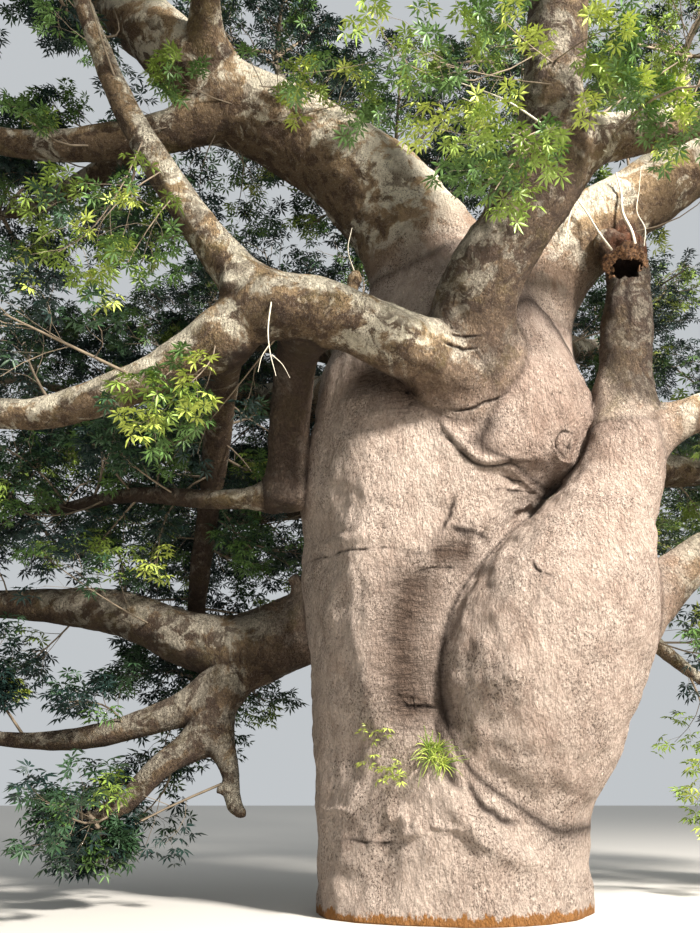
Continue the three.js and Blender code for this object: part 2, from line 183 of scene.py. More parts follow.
SHOULDER = [
    [4.43, 0.64, -0.56, 0.300, 0.260], [4.60, 0.68, -0.60, 0.690, 0.600],
    [5.00, 0.79, -0.60, 0.920, 0.760], [5.55, 0.82, -0.58, 0.950, 0.820],
    [6.05, 0.77, -0.52, 0.830, 0.790], [6.60, 0.78, -0.40, 0.650, 0.700],
    [7.15, 0.90, -0.26, 0.550, 0.580], [7.60, 1.00, -0.16, 0.360, 0.380],
]
LOBES = 5
LOBE_DEPTH = 0.025
LOBE_TWIST = 0.9
print("trunk is", MAIN_STEM[-1][0], "m high to the top of its fork")

# %% Limbs: path from root to tip, radius at both ends, flare and taper, reach of the foliage on the tip
LIMBS = {
    "upper_left_bough": dict(
        path=[[0.35, 0.05, 6.9], [-0.15, -0.12, 8.15], [-0.88, -0.33, 9.13], [-1.88, -0.52, 9.86],
              [-2.85, -0.8, 10.25], [-3.85, -1.15, 11.05], [-4.8, -0.9, 12.3]],
        radius=(0.96, 0.33), reach=2.4),
    "right_bough": dict(
        path=[[0.65, -0.06, 6.2], [1.15, -0.23, 7.25], [1.7, -0.35, 7.95], [2.4, -0.45, 8.48],
              [3.55, -0.58, 9.15], [5.2, -0.75, 9.75], [6.2, -0.9, 10.15]],
        radius=(0.89, 0.19), taper=0.75, reach=2.3),
    "front_bough": dict(
        path=[[0.64, -0.5, 5.5], [0.36, -1.15, 5.85], [0.34, -1.72, 6.48], [0.76, -2.18, 7.14],
              [1.06, -2.42, 7.7], [1.17, -2.6, 8.5], [1.24, -2.76, 9.3], [1.15, -2.9, 10.3]],
        radius=(0.6, 0.24), taper=0.8, reach=2.0),
    "front_left_bough": dict(
        path=[[0.33, -0.95, 5.35], [-0.11, -1.48, 5.65], [-0.76, -1.7, 5.9], [-1.4, -1.82, 6.17],
              [-2.05, -1.85, 6.19], [-2.7, -1.72, 5.8], [-3.5, -1.58, 5.38], [-4.6, -1.4, 5.1],
              [-6.0, -1.3, 5.3]],
        radius=(0.43, 0.13), taper=0.9, reach=1.7),
    "low_left_bough": dict(
        path=[[-0.65, 0.45, 3.85], [-1.5, 0.85, 3.26], [-2.25, 0.93, 2.96], [-3.05, 1.01, 2.98],
              [-4.0, 1.12, 3.34], [-5.3, 1.2, 3.5], [-6.4, 1.3, 3.56]],
        radius=(0.69, 0.15), taper=0.62, reach=1.5),
    "right_stem": dict(
        path=[[2.03, -0.75, 4.7], [2.15, -0.79, 5.4], [2.26, -0.81, 6.15], [2.37, -0.81, 6.95],
              [2.47, -0.8, 7.8]],
        radius=(0.39, 0.25)),
    "middle_bough": dict(
        path=[[0.7, 0.15, 7.0], [1.45, 0.6, 8.8], [1.85, 0.95, 10.5], [1.95, 1.2, 11.7]],
        radius=(0.56, 0.2), flare=0.2, reach=2.3),
    "back_left_bough": dict(
        path=[[-0.2, 0.35, 6.5], [-1.2, 1.9, 7.9], [-2.3, 3.5, 8.85], [-3.3, 4.6, 9.5]],
        radius=(0.6, 0.19), flare=0.2, reach=2.5),
    "back_bough": dict(
        path=[[0.2, 0.5, 6.3], [0.3, 1.7, 8.2], [0.1, 2.7, 10.1], [-0.1, 3.2, 11.7]],
        radius=(0.6, 0.18), flare=0.2, reach=2.45),
    "back_right_bough": dict(
        path=[[0.75, 0.4, 6.5], [1.9, 2.0, 7.75], [2.9, 3.6, 8.7], [3.7, 4.6, 9.3]],
        radius=(0.56, 0.18), flare=0.2, reach=2.5),
    "rear_right_limb": dict(
        path=[[1.0, 0.25, 6.25], [1.93, 0.65, 6.13], [2.5, 0.93, 5.88], [3.15, 1.25, 5.5],
              [4.0, 1.5, 5.52], [5.2, 1.95, 6.0]],
        radius=(0.43, 0.12), flare=0.1, reach=1.9),
    "rear_left_limb": dict(
        path=[[-0.6, 0.5, 6.3], [-2.3, 1.9, 6.85], [-4.0, 2.8, 7.4], [-5.8, 3.4, 7.7]],
        radius=(0.42, 0.11), flare=0.25, reach=2.25),
    "rear_left_low_limb": dict(
        path=[[-0.3, 0.6, 5.0], [-1.3, 2.2, 5.35], [-2.3, 3.5, 5.6], [-3.0, 4.4, 5.7]],
        radius=(0.42, 0.11), flare=0.25, reach=2.1),
    "rear_right_low_limb": dict(
        path=[[0.6, 0.5, 4.9], [2.1, 2.3, 5.25], [3.2, 3.6, 5.6], [3.9, 4.4, 5.9]],
        radius=(0.4, 0.11), flare=0.25, reach=2.0),
    "bulge_arm": dict(
        path=[[1.45, -0.43, 2.4], [2.28, -0.33, 3.16], [3.0, -0.2, 3.75], [4.3, 0.0, 4.45],
              [5.5, 0.1, 4.85]],
        radius=(0.37, 0.12), flare=0.1, reach=1.8),
    "bulge_rear_arm": dict(
        path=[[1.3, 0.0, 3.5], [2.45, 0.83, 3.18], [3.3, 1.17, 2.6], [4.15, 1.45, 2.2]],
        radius=(0.165, 0.065), flare=0.3, reach=1.2),
    "far_left_limb": dict(
        path=[[-2.75, -0.8, 10.05], [-3.4, -0.88, 9.65], [-4.3, -0.85, 9.43], [-5.7, -0.85, 9.4],
              [-6.7, -1.0, 9.65]],
        radius=(0.33, 0.15), flare=0.1, reach=1.9),
    "high_left_rear_limb": dict(
        path=[[-3.0, -0.65, 10.15], [-4.0, -0.1, 10.15], [-5.1, 0.5, 9.95], [-6.2, 1.2, 9.95]],
        radius=(0.3, 0.12), flare=0.1, reach=1.9),
    "upper_riser": dict(
        path=[[-1.75, -0.4, 9.8], [-1.85, 0.0, 10.8], [-2.15, 0.6, 11.8]],
        radius=(0.19, 0.11), flare=0.3, reach=2.2),
    "rising_left_limb": dict(
        path=[[-2.0, -1.85, 6.15], [-2.62, -1.9, 6.9], [-3.22, -1.92, 7.8], [-3.85, -2.05, 8.9],
              [-4.35, -2.45, 10.05]],
        radius=(0.285, 0.115), reach=1.8),
    "hanging_limb": dict(
        path=[[-1.55, -1.65, 6.15], [-1.78, -0.95, 5.95], [-1.88, -0.5, 5.35], [-1.9, -0.3, 4.38]],
        radius=(0.29, 0.2), flare=0.1),
    "hanging_limb_arm": dict(
        path=[[-1.85, -0.28, 4.53], [-2.7, -0.12, 4.52], [-3.9, 0.35, 4.75], [-5.4, 1.4, 4.9]],
        radius=(0.15, 0.07), flare=0.1, reach=1.7),
    "rear_hanging_limb": dict(
        path=[[-2.5, -1.7, 5.85], [-2.75, -0.3, 5.95], [-3.0, 0.9, 5.15], [-3.25, 1.75, 3.95],
              [-3.35, 2.3, 3.15]],
        radius=(0.24, 0.12), reach=1.5),
    "low_left_fork": dict(
        path=[[-2.15, 0.9, 2.85], [-2.75, 0.8, 2.36], [-3.45, 0.68, 2.01], [-4.35, 0.54, 1.76],
              [-5.2, 0.42, 1.75]],
        radius=(0.27, 0.09), reach=1.1),
    "low_left_droop": dict(
        path=[[-2.72, 0.8, 2.3], [-2.9, 0.7, 1.8], [-3.35, 0.5, 1.43], [-3.75, 0.35, 0.98]],
        radius=(0.23, 0.11), reach=0.8),
    "low_left_stub": dict(
        path=[[-2.78, 0.76, 1.95], [-2.56, 0.62, 1.5], [-2.45, 0.52, 0.98]],
        radius=(0.17, 0.08)),
    "front_right_limb": dict(
        path=[[0.95, -2.35, 7.45], [1.65, -2.42, 7.98], [2.6, -2.56, 8.12], [3.8, -2.75, 8.5]],
        radius=(0.34, 0.13), reach=1.9),
    "front_overhead_limb": dict(
        path=[[1.2, -2.7, 9.2], [1.5, -3.5, 10.1], [1.35, -4.5, 10.7]],
        radius=(0.2, 0.12), flare=0.2, reach=1.9),
    "left_overhead_limb": dict(
        path=[[-3.0, -0.85, 10.3], [-3.0, -2.0, 10.9], [-2.5, -3.3, 11.3]],
        radius=(0.26, 0.13), flare=0.2, reach=2.0),
    "right_riser": dict(
        path=[[3.05, -0.45, 8.95], [3.7, -0.05, 10.2], [4.1, 0.35, 11.3]],
        radius=(0.26, 0.14), flare=0.2, reach=2.2),
    "right_stem_arm": dict(
        path=[[2.12, -0.78, 4.9], [2.75, -0.82, 5.25], [3.9, -0.9, 5.7], [5.2, -1.15, 6.35]],
        radius=(0.27, 0.12), flare=0.1, reach=1.9),
}
print("limbs:", len(LIMBS), "of which", sum("reach" in limb for limb in LIMBS.values()), "carry foliage")

# %% [markdown]
# ## Paths of the limbs
# A limb bends smoothly through the points of its path. Blender has curves for this, but the plain model uses a
# centripetal Catmull-Rom curve, which never loops at close points, so the same curve is worked out here.

# %% Smooth curve through points
SAMPLES_PER_SPAN = 40
FLARE_REACH = 1.6
USUAL_TAPER = 0.85


def smooth_path(points):
    points = np.array(points, float)
    full = np.vstack([2 * points[:1] - points[1:2], points, 2 * points[-1:] - points[-2:-1]])
    share = np.linspace(0, 1, SAMPLES_PER_SPAN, endpoint=False)[:, None]
    spans = []
    for a, b, c, d in zip(full, full[1:], full[2:], full[3:]):
        before, here, after = (np.linalg.norm(q - p) ** 0.5 for p, q in ((a, b), (b, c), (c, d)))
        leave = ((b - a) / before - (c - a) / (before + here) + (c - b) / here) * here
        arrive = ((c - b) / here - (d - b) / (here + after) + (d - c) / after) * here
        bend = -3 * b + 3 * c - 2 * leave - arrive
        twist = 2 * b - 2 * c + leave + arrive
        spans.append(b + leave * share + bend * share**2 + twist * share**3)
    return np.vstack(spans + [points[-1:]])


def lengths_along(line):
    steps = np.linalg.norm(np.diff(line, axis=0), axis=1)
    return np.concatenate([[0], np.cumsum(steps)])


def limb_radius(limb, distance, length):
    root, tip = limb["radius"]
    share = np.clip(distance / length, 0, 1)
    flared = 1 + limb.get("flare", 0) * np.exp(-distance / (FLARE_REACH * root))
    return (tip + (root - tip) * (1 - share ** limb.get("taper", USUAL_TAPER))) * flared


bough_lengths = [lengths_along(smooth_path(limb["path"]))[-1] for limb in LIMBS.values()]
print("longest bough:", round(max(bough_lengths), 1), "m")

# %% [markdown]
# ## Spaces of the foliage
# Each leafy tip keeps to a flattened ball of its own, and a plane parts it from each neighbour. A stem runs on
# from the limb's tip over a knee to the crown of the ball, and the twigs spread from it.

# %% Foliage spaces
MASS_HEIGHT_SHARE = 0.78
MIDDLE_BEYOND_TIP = 0.62
MIDDLE_LIFT = 0.12
LEAST_HEIGHT = 0.25
CROWN_LIFT = 0.1
KNEE_ALONG_STEM = 0.45
KNEE_PUSH = 0.12
KNEE_RADIUS_SHARE = 0.56
STEM_END_RADIUS = 0.042

spaces = []
for name, limb in LIMBS.items():
    line = smooth_path(limb["path"])
    limb["length"] = lengths_along(line)[-1]
    if "reach" not in limb:
        continue
    tip, heading, reach = line[-1], line[-1] - line[-2], limb["reach"]
    heading = heading / np.linalg.norm(heading)
    middle = tip + heading * MIDDLE_BEYOND_TIP * reach
    middle[2] = max(middle[2] + MIDDLE_LIFT * reach, MASS_HEIGHT_SHARE * reach + LEAST_HEIGHT)
    crown = middle + [0, 0, CROWN_LIFT * reach]
    knee = tip + (crown - tip) * KNEE_ALONG_STEM + heading * KNEE_PUSH * reach
    spaces.append(dict(limb=name, tip=tip, middle=middle, reach=reach, knee=knee, crown=crown))
middles = np.array([space["middle"] for space in spaces])
reaches = np.array([space["reach"] for space in spaces])
print("foliage spaces:", len(spaces))

# %% [markdown]
# ## Wood as wrapped cylinders
# A bough could be a curve with a bevel, but its thickness has to follow the plain model exactly. So each one
# starts as a cylinder whose upright edges are subdivided, and its rings of points are then laid along the
# path. The trunk's stems are made the same way, with shallow lobes that turn slowly round them.

# %% Helpers for shaping
def deselect_all():
    bpy.ops.object.select_all(action="DESELECT")


def make_active(piece):
    deselect_all()
    piece.select_set(True)
    bpy.context.view_layer.objects.active = piece


def finish_modifier(piece, kind, **settings):
    make_active(piece)
    modifier = piece.modifiers.new(kind.title(), kind)
    for name, value in settings.items():
        setattr(modifier, name, value)
    bpy.ops.object.modifier_apply(modifier=modifier.name)


def read_array(items, key, width=1, kind=np.float32):
    values = np.empty(len(items) * width, kind)
    items.foreach_get(key, values)
    return values.reshape(-1, width) if width > 1 else values


def points_of(piece):
    return read_array(piece.data.vertices, "co", 3)


def normals_of(piece):
    return read_array(piece.data.vertex_normals, "vector", 3)


def set_points(piece, points):
    piece.data.vertices.foreach_set("co", np.asarray(points, np.float32).ravel())
    piece.data.update()


def wrapped_cylinder(name, rings):
    count, sides, _ = rings.shape
    deselect_all()
    bpy.ops.mesh.primitive_cylinder_add(vertices=sides, radius=1, depth=2)
    piece = bpy.context.object
    piece.name = name
    bpy.ops.object.mode_set(mode="EDIT")
    bpy.ops.mesh.select_mode(type="EDGE")
    bpy.ops.mesh.select_all(action="DESELECT")
    shape = bmesh.from_edit_mesh(piece.data)
    for edge in shape.edges:
        edge.select_set(abs(edge.verts[0].co.z - edge.verts[1].co.z) > 1)
    bmesh.update_edit_mesh(piece.data)
    bpy.ops.mesh.subdivide(number_cuts=count - 2)
    bpy.ops.object.mode_set(mode="OBJECT")
    points = points_of(piece)
    ring = np.rint((points[:, 2] + 1) / 2 * (count - 1)).astype(int)
    side = np.rint(np.arctan2(points[:, 1], points[:, 0]) / (2 * math.pi) * sides).astype(int) % sides
    set_points(piece, rings[ring, side])
    return piece


print("helpers are ready")

# %% Stems of the trunk
STEM_SIDES = 48
RING_STEP = 0.09
FOOT_BELOW_CUT = 0.25


def smooth_rows(rows, heights):
    table = np.array(rows)
    slopes = np.gradient(table, table[:, 0], axis=0)
    row = np.clip(np.searchsorted(table[:, 0], heights, side="right") - 1, 0, len(table) - 2)
    low, high = table[row], table[row + 1]
    gap = (high[:, :1] - low[:, :1])
    t = (heights[:, None] - low[:, :1]) / gap
    from_low = (1 + 2 * t) * (1 - t) ** 2 * low + t * (1 - t) ** 2 * gap * slopes[row]
    from_high = t**2 * (3 - 2 * t) * high + t**2 * (t - 1) * gap * slopes[row + 1]
    return from_low + from_high


def stem_rings(rows):
    heights = np.linspace(rows[0][0], rows[-1][0], math.ceil((rows[-1][0] - rows[0][0]) / RING_STEP))
    table = smooth_rows(rows, heights)
    if rows[0][0] == 0:
        table = np.vstack([table[:1], table])
        heights = np.concatenate([[-FOOT_BELOW_CUT], heights])
    angle = np.arange(STEM_SIDES) / STEM_SIDES * 2 * math.pi
    lobe = 1 + LOBE_DEPTH * np.cos(LOBES * angle + heights[:, None] / LOBE_TWIST)
    x = table[:, 1:2] + table[:, 3:4] * lobe * np.cos(angle)
    y = table[:, 2:3] + table[:, 4:5] * lobe * np.sin(angle)
    return np.stack([x, y, np.broadcast_to(heights[:, None], x.shape)], axis=2)


STEMS = {"main_stem": MAIN_STEM, "swollen_stem": SWOLLEN_STEM, "shoulder": SHOULDER}
wood_parts = [wrapped_cylinder(name, stem_rings(rows)) for name, rows in STEMS.items()]
print("trunk stems:", [part.name for part in wood_parts])

# %% Limbs and the stems that carry them on into the foliage
LIMB_SIDES = 20
STATION_STEP = 0.12


def limb_line(name):
    limb = LIMBS[name]
    path = list(limb["path"])
    space = next((space for space in spaces if space["limb"] == name), None)
    if space:
        path += [space["knee"], space["crown"]]
    line = smooth_path(path)
    along = lengths_along(line)
    stations = np.linspace(0, along[-1], max(6, round(along[-1] / STATION_STEP)))
    points = np.stack([np.interp(stations, along, line[:, k]) for k in range(3)], axis=1)
    radii = limb_radius(limb, stations, limb["length"])
    if space:
        knee_at = along[len(limb["path"]) * SAMPLES_PER_SPAN]
        tip_radius = limb["radius"][1]
        marks = [limb["length"], knee_at, along[-1]]
        beyond = np.interp(stations, marks, [tip_radius, KNEE_RADIUS_SHARE * tip_radius, STEM_END_RADIUS])
        radii = np.where(stations > limb["length"], beyond, radii)
    return points, radii


def rings_along(points, radii, sides):
    headings = np.gradient(points, axis=0)
    headings /= np.linalg.norm(headings, axis=1)[:, None]
    across = np.cross(headings[0], (0, 0, 1))
    if np.linalg.norm(across) < 1e-3:
        across = np.array((1.0, 0, 0))
    angle = np.arange(sides) / sides * 2 * math.pi
    rings = []
    for point, heading, radius in zip(points, headings, radii):
        across = across - heading * across.dot(heading)
        across /= np.linalg.norm(across)
        second = np.cross(heading, across)
        rings.append(point + radius * (np.cos(angle)[:, None] * across + np.sin(angle)[:, None] * second))
    return np.array(rings)


limb_lines = {name: limb_line(name) for name in LIMBS}
for name, (points, radii) in limb_lines.items():
    wood_parts.append(wrapped_cylinder(name + "_core", rings_along(points, radii, LIMB_SIDES)))
print("wood parts:", len(wood_parts))

# %% Knobs: the grown-over stubs of lost twigs, as points and radii
KNOBS = [
    ([(-1.07, -1.78, 6.2), (-1.08, -1.76, 6.5), (-1.05, -1.74, 6.62), (-1.06, -1.72, 6.74)],
     (0.1, 0.06, 0.085, 0.05)),
    ([(-1.72, 0.78, 3.3), (-1.8, 0.6, 3.62), (-1.84, 0.55, 3.72)], (0.12, 0.08, 0.06)),
    ([(-2.6, 0.9, 2.7), (-2.72, 0.72, 2.5), (-2.76, 0.66, 2.44)], (0.14, 0.1, 0.07)),
    ([(-3.6, 1.0, 3.2), (-3.68, 0.95, 3.46), (-3.74, 0.94, 3.52)], (0.1, 0.07, 0.05)),
    ([(-2.49, 0.55, 1.16), (-2.44, 0.5, 1.02), (-2.36, 0.46, 0.94), (-2.3, 0.45, 0.93)],
     (0.1, 0.095, 0.07, 0.04)),
    ([(-2.5, 0.56, 1.3), (-2.6, 0.5, 1.2), (-2.66, 0.46, 1.18)], (0.09, 0.06, 0.04)),
    ([(0.98, -2.3, 7.5), (0.86, -2.5, 7.82), (0.84, -2.54, 7.88)], (0.12, 0.08, 0.06)),
    ([(-2.3, -1.9, 6.2), (-2.42, -2.02, 6.36), (-2.46, -2.06, 6.42)], (0.13, 0.1, 0.07)),
    ([(-1.5, -0.45, 9.55), (-1.46, -0.6, 10.05), (-1.44, -0.62, 10.15)], (0.16, 0.1, 0.07)),
]
TORN_EDGE_KNOBS = [
    ((2.12, -0.87, 7.62), 0.08, 0.05), ((2.20, -0.92, 7.69), 0.09, 0.05), ((2.31, -0.97, 7.61), 0.08, 0.05),
    ((2.47, -0.92, 7.71), 0.09, 0.05), ((2.60, -0.87, 7.67), 0.08, 0.05), ((2.63, -0.87, 7.51), 0.06, 0.04),
    ((2.14, -0.92, 7.45), 0.06, 0.04),
]
TORN_EDGE_RISE = ((0, 0, 0), (0, -0.08, 0.08), (0, -0.11, 0.13))
for root, thick, thin in TORN_EDGE_KNOBS:
    KNOBS.append(([np.add(root, rise) for rise in TORN_EDGE_RISE], (thick, thick, thin)))
for number, (points, radii) in enumerate(KNOBS):
    rings = rings_along(np.array(points), np.array(radii), LIMB_SIDES)
    wood_parts.append(wrapped_cylinder(f"knob_{number}", rings))
print("knobs:", len(KNOBS))

# %% [markdown]
# ## One skin over all the wood
# On a real tree the bark runs over every joint without a seam. Boolean unions would leave sharp edges there.
# A voxel remesh wraps all the parts in one even skin instead, and a little smoothing takes off its steps.

# %% Fuse and remesh
VOXEL = 0.035
SMOOTHING_ROUNDS = 4

deselect_all()
for part in wood_parts:
    part.select_set(True)
bpy.context.view_layer.objects.active = wood_parts[0]
bpy.ops.object.join()
wood = wood_parts[0]
wood.name = "wood_skin"
finish_modifier(wood, "REMESH", mode="VOXEL", voxel_size=VOXEL)
finish_modifier(wood, "SMOOTH", factor=0.5, iterations=SMOOTHING_ROUNDS)
print("skin:", len(wood.data.polygons), "faces")

# %% [markdown]
# ## Which limb is nearest
# Joints, colours and the later cut into pieces all need to know, for each point of the skin, how far off every
# limb is. That is worked out with arrays: the distance to a limb's line less its radius there.

# %% Distances from the skin to every stem and limb
FAR = 9.0
NEIGHBOURHOOD = 0.7


def distance_to_line(points, line, radii):
    best = np.full(len(points), FAR, np.float32)
    thickness = np.zeros(len(points), np.float32)
    margin = radii.max() + NEIGHBOURHOOD
    near = np.nonzero(np.all((points > line.min(0) - margin) & (points < line.max(0) + margin), axis=1))[0]
    close, best_near, thick_near = points[near], best[near], thickness[near]
    for start, end, first, last in zip(line, line[1:], radii, radii[1:]):
        step = end - start
        offset = close - start
        share = np.clip(offset @ step / step.dot(step), 0, 1)
        radius = first + (last - first) * share
        distance = np.linalg.norm(offset - share[:, None] * step, axis=1) - radius
        better = distance < best_near
        best_near[better] = distance[better]
        thick_near[better] = radius[better]
    best[near], thickness[near] = best_near, thick_near
    return best, thickness


def distance_to_stem(points, rows):
    heights = np.clip(points[:, 2], rows[0][0], rows[-1][0])
    _, x, y, half_width, half_depth = smooth_rows(rows, heights).T
    angle = np.arctan2((points[:, 1] - y) / half_depth, (points[:, 0] - x) / half_width)
    lobe = 1 + LOBE_DEPTH * np.cos(LOBES * angle + heights / LOBE_TWIST)
    level = np.hypot((points[:, 0] - x) / half_width, (points[:, 1] - y) / half_depth) / lobe - 1
    beyond = np.abs(points[:, 2] - heights) * (points[:, 2] > 0)
    outside = np.hypot(np.maximum(level * np.minimum(half_width, half_depth), 0), beyond)
    return outside + np.minimum(level, 0) * 0.5


def nearest_wood(points):
    stems = [distance_to_stem(points, rows) for rows in STEMS.values()]
    limbs = [distance_to_line(points, *limb_lines[name]) for name in LIMBS]
    distances = np.stack(stems + [distance for distance, _ in limbs], axis=1)
    thick = [np.full(len(points), 1.0, np.float32)] * len(stems) + [thickness for _, thickness in limbs]
    order = np.argsort(distances, axis=1)[:, :2]
    rows = np.arange(len(points))
    first, second = distances[rows, order[:, 0]], distances[rows, order[:, 1]]
    return order[:, 0], order[:, 1], second - first, np.stack(thick, axis=1)[rows, order[:, 0]]


nearest, runner_up, parting, thickness = nearest_wood(points_of(wood))
print("points nearest to the trunk:", int((nearest < len(STEMS)).sum()), "of", len(nearest))

# %% [markdown]
# ## Swollen joints
# Where a bough leaves the trunk the bark swells into a collar. The skin is pushed out there by the amount that
# a smooth blend of the two shapes would give. The shoulder melts into the main stem in the same way. The
# swollen stem only presses on them above its foot, so the crease beside it stays sharp.

# %% Fill the joints
COLLAR_REACH = 0.4
CREASE_REACH = 0.05
FOOT_HEIGHTS = (1.0, 1.6)
SWOLLEN = list(STEMS).index("swollen_stem")

stems_only = (nearest < len(STEMS)) & (runner_up < len(STEMS))
stems_only &= (nearest == SWOLLEN) | (runner_up == SWOLLEN)
foot_collar = np.interp(points_of(wood)[:, 2], FOOT_HEIGHTS, [COLLAR_REACH, CREASE_REACH])
collar = np.where(stems_only, foot_collar, COLLAR_REACH)
closeness = np.clip(1 - parting / collar, 0, 1)
swell = closeness**2 * collar / 4
set_points(wood, points_of(wood) + normals_of(wood) * swell[:, None])
print("largest swelling:", round(float(swell.max()), 3), "m")

# %% [markdown]
# ## Lumps in the bark
# Old bark is never a clean tube. Two displace modifiers with cloud textures add broad swellings and smaller
# knots. A group of weights keeps them gentle on thin limbs.

# %% Broad and small lumps
LUMPS = {"broad swellings": (0.8, 0.16), "knots": (0.22, 0.06)}
JOINT_ROUNDS = 14
WEIGHT_STEPS = 20
FULL_LUMPS_FROM = 0.5
LEAST_LUMPS = 0.14


def add_weights(piece, name, weights):
    group = piece.vertex_groups.new(name=name)
    levels = np.rint(np.clip(weights, 0, 1) * WEIGHT_STEPS).astype(int)
    for level in range(1, WEIGHT_STEPS + 1):
        group.add(np.nonzero(levels == level)[0].tolist(), level / WEIGHT_STEPS, "REPLACE")


add_weights(wood, "joints", np.clip(closeness * 2, 0, 1) * (~stems_only | (collar > 2 * CREASE_REACH)))
finish_modifier(wood, "SMOOTH", factor=0.5, iterations=JOINT_ROUNDS, vertex_group="joints")
add_weights(wood, "lumps", np.clip(thickness / FULL_LUMPS_FROM, LEAST_LUMPS, 1) * (1 - 0.5 * closeness))
for name, (size, height) in LUMPS.items():
    clouds = bpy.data.textures.new(name, "CLOUDS")
    clouds.noise_scale = size
    clouds.noise_depth = 2
    finish_modifier(wood, "DISPLACE", texture=clouds, texture_coords="LOCAL", strength=height,
                    mid_level=0.5, vertex_group="lumps")
print("lumps added:", ", ".join(LUMPS))

# %% [markdown]
# ## Creases, folds and scars
# Each mark that makes this trunk itself was read off as a line across the picture. A ray from the camera
# through each point of the line finds its place on the skin, and the skin near the line is pushed in for a
# groove or out for a fold. So every mark lies on the bark, seen from any side. The hole in the torn top is
# deeper, so its bark is pressed back in one direction.

# %% Marks: points in pixels, half width and height in metres
MARKS = [
    ("valley by the crease", [(430, 545), (414, 590), (407, 645), (412, 700), (432, 745)], 0.28, -0.12),
    ("ridge by the valley", [(376, 590), (366, 650), (380, 710), (404, 762)], 0.16, 0.03),
    ("shade under the front left bough", [(342, 372), (372, 378), (404, 388), (432, 402)], 0.2, -0.03),
    ("crease foot", [(443, 690), (443, 735), (449, 768), (460, 795)], 0.05, -0.06),
    ("fold over the foot", [(444, 772), (456, 806), (474, 832), (498, 850), (525, 860), (556, 856)],
     0.1, 0.085),
    ("fold shade", [(464, 770), (478, 798), (496, 816), (524, 824)], 0.03, -0.03),
    ("ledge", [(428, 826), (446, 828), (466, 832)], 0.03, 0.03),
    ("ring line", [(306, 562), (325, 557), (340, 552), (360, 549), (382, 547), (404, 550)], 0.012, -0.014),
    ("ring swelling", [(306, 552), (340, 541), (382, 537), (404, 540)], 0.07, 0.03),
    ("wrinkled shade", [(425, 556), (455, 552), (482, 550)], 0.15, -0.02),
    ("wrinkle a", [(412, 553), (440, 550), (480, 556)], 0.012, -0.012),
    ("wrinkle c", [(416, 570), (450, 568), (468, 572)], 0.012, -0.012),
    ("notch", [(397, 699), (412, 703), (428, 705), (440, 704)], 0.016, -0.04),
    ("notch lip", [(395, 690), (412, 694), (430, 697)], 0.025, 0.03),
    ("fold ring a", [(317, 809), (332, 809), (347, 812), (362, 822)], 0.03, 0.03),
    ("fold ring b", [(332, 841), (350, 840), (365, 842), (385, 843), (402, 841)], 0.014, -0.01),
    ("burl top", [(388, 822), (398, 816), (412, 820)], 0.07, 0.06),
    ("burl side", [(400, 836), (414, 832), (420, 824)], 0.05, 0.05),
    ("shoulder lip", [(440, 415), (450, 430), (465, 445), (478, 458), (490, 461), (508, 458), (535, 457)],
     0.05, 0.045),
    ("lip shade", [(438, 422), (449, 439), (462, 453), (475, 463), (492, 466), (512, 463), (537, 461)],
     0.014, -0.04),
    ("dark wedge", [(446, 526), (463, 530), (482, 536), (499, 544)], 0.03, -0.012),
    ("scar", [(576, 433), (566, 429), (556, 430), (552, 442), (557, 454), (567, 462), (577, 463)],
     0.02, 0.016),
    ("scar shade", [(577, 435), (560, 433), (556, 446), (566, 460)], 0.012, -0.02),
    ("scar spot", [(571, 443), (568, 447), (572, 451)], 0.02, -0.012),
    ("shoulder wrinkle a", [(500, 476), (516, 481), (535, 484)], 0.014, -0.02),
    ("shoulder wrinkle b", [(492, 489), (512, 491), (538, 494)], 0.014, -0.02),
    ("upright notch", [(455, 490), (452, 507), (446, 522), (441, 533)], 0.02, -0.012),
    ("collar crease", [(446, 409), (465, 411), (485, 403), (504, 395), (514, 384)], 0.016, -0.03),
    ("bough ring", [(442, 341), (452, 346), (465, 349), (480, 348)], 0.016, -0.03),
    ("small ring", [(448, 333), (465, 337), (482, 336)], 0.014, -0.02),
    ("blister line a", [(532, 560), (538, 570), (556, 576)], 0.012, -0.02),
    ("hollow of the broken stem", [(616, 265), (628, 267), (640, 266)], 0.1, -0.02),
    ("streak of the broken stem", [(626, 276), (627, 292), (630, 310), (628, 330)], 0.035, -0.015),
]
WANDER_KNOTS = 9
WIDEST_WANDER = 0.012


def ray_through(u, v):
    wide = (u - FRAME_SIZE[0] / 2) / FOCAL_PIXELS
    high = (FRAME_SIZE[1] / 2 - v) / FOCAL_PIXELS
    lift = math.radians(CAMERA_TILT)
    return Vector((wide, math.cos(lift) - high * math.sin(lift), math.sin(lift) + high * math.cos(lift)))


def skin_tree(piece):
    bpy.context.view_layer.update()
    return BVHTree.FromObject(piece, bpy.context.evaluated_depsgraph_get())


def on_skin(tree, pixels):
    hits = [tree.ray_cast(Vector(CAMERA_PLACE), ray_through(u, v).normalized())[0] for u, v in pixels]
    return np.array([hit for hit in hits if hit is not None])


def near_line(points, line, margin):
    return np.nonzero(np.all((points > line.min(0) - margin) & (points < line.max(0) + margin), axis=1))[0]


def gaps_to_line(points, line):
    gaps = np.full(len(points), FAR)
    along = np.zeros(len(points))
    for place, point in zip(np.linspace(0, 1, len(line)), line):
        gap = np.linalg.norm(points - point, axis=1)
        closer = gap < gaps
        gaps[closer], along[closer] = gap[closer], place
    return gaps, along


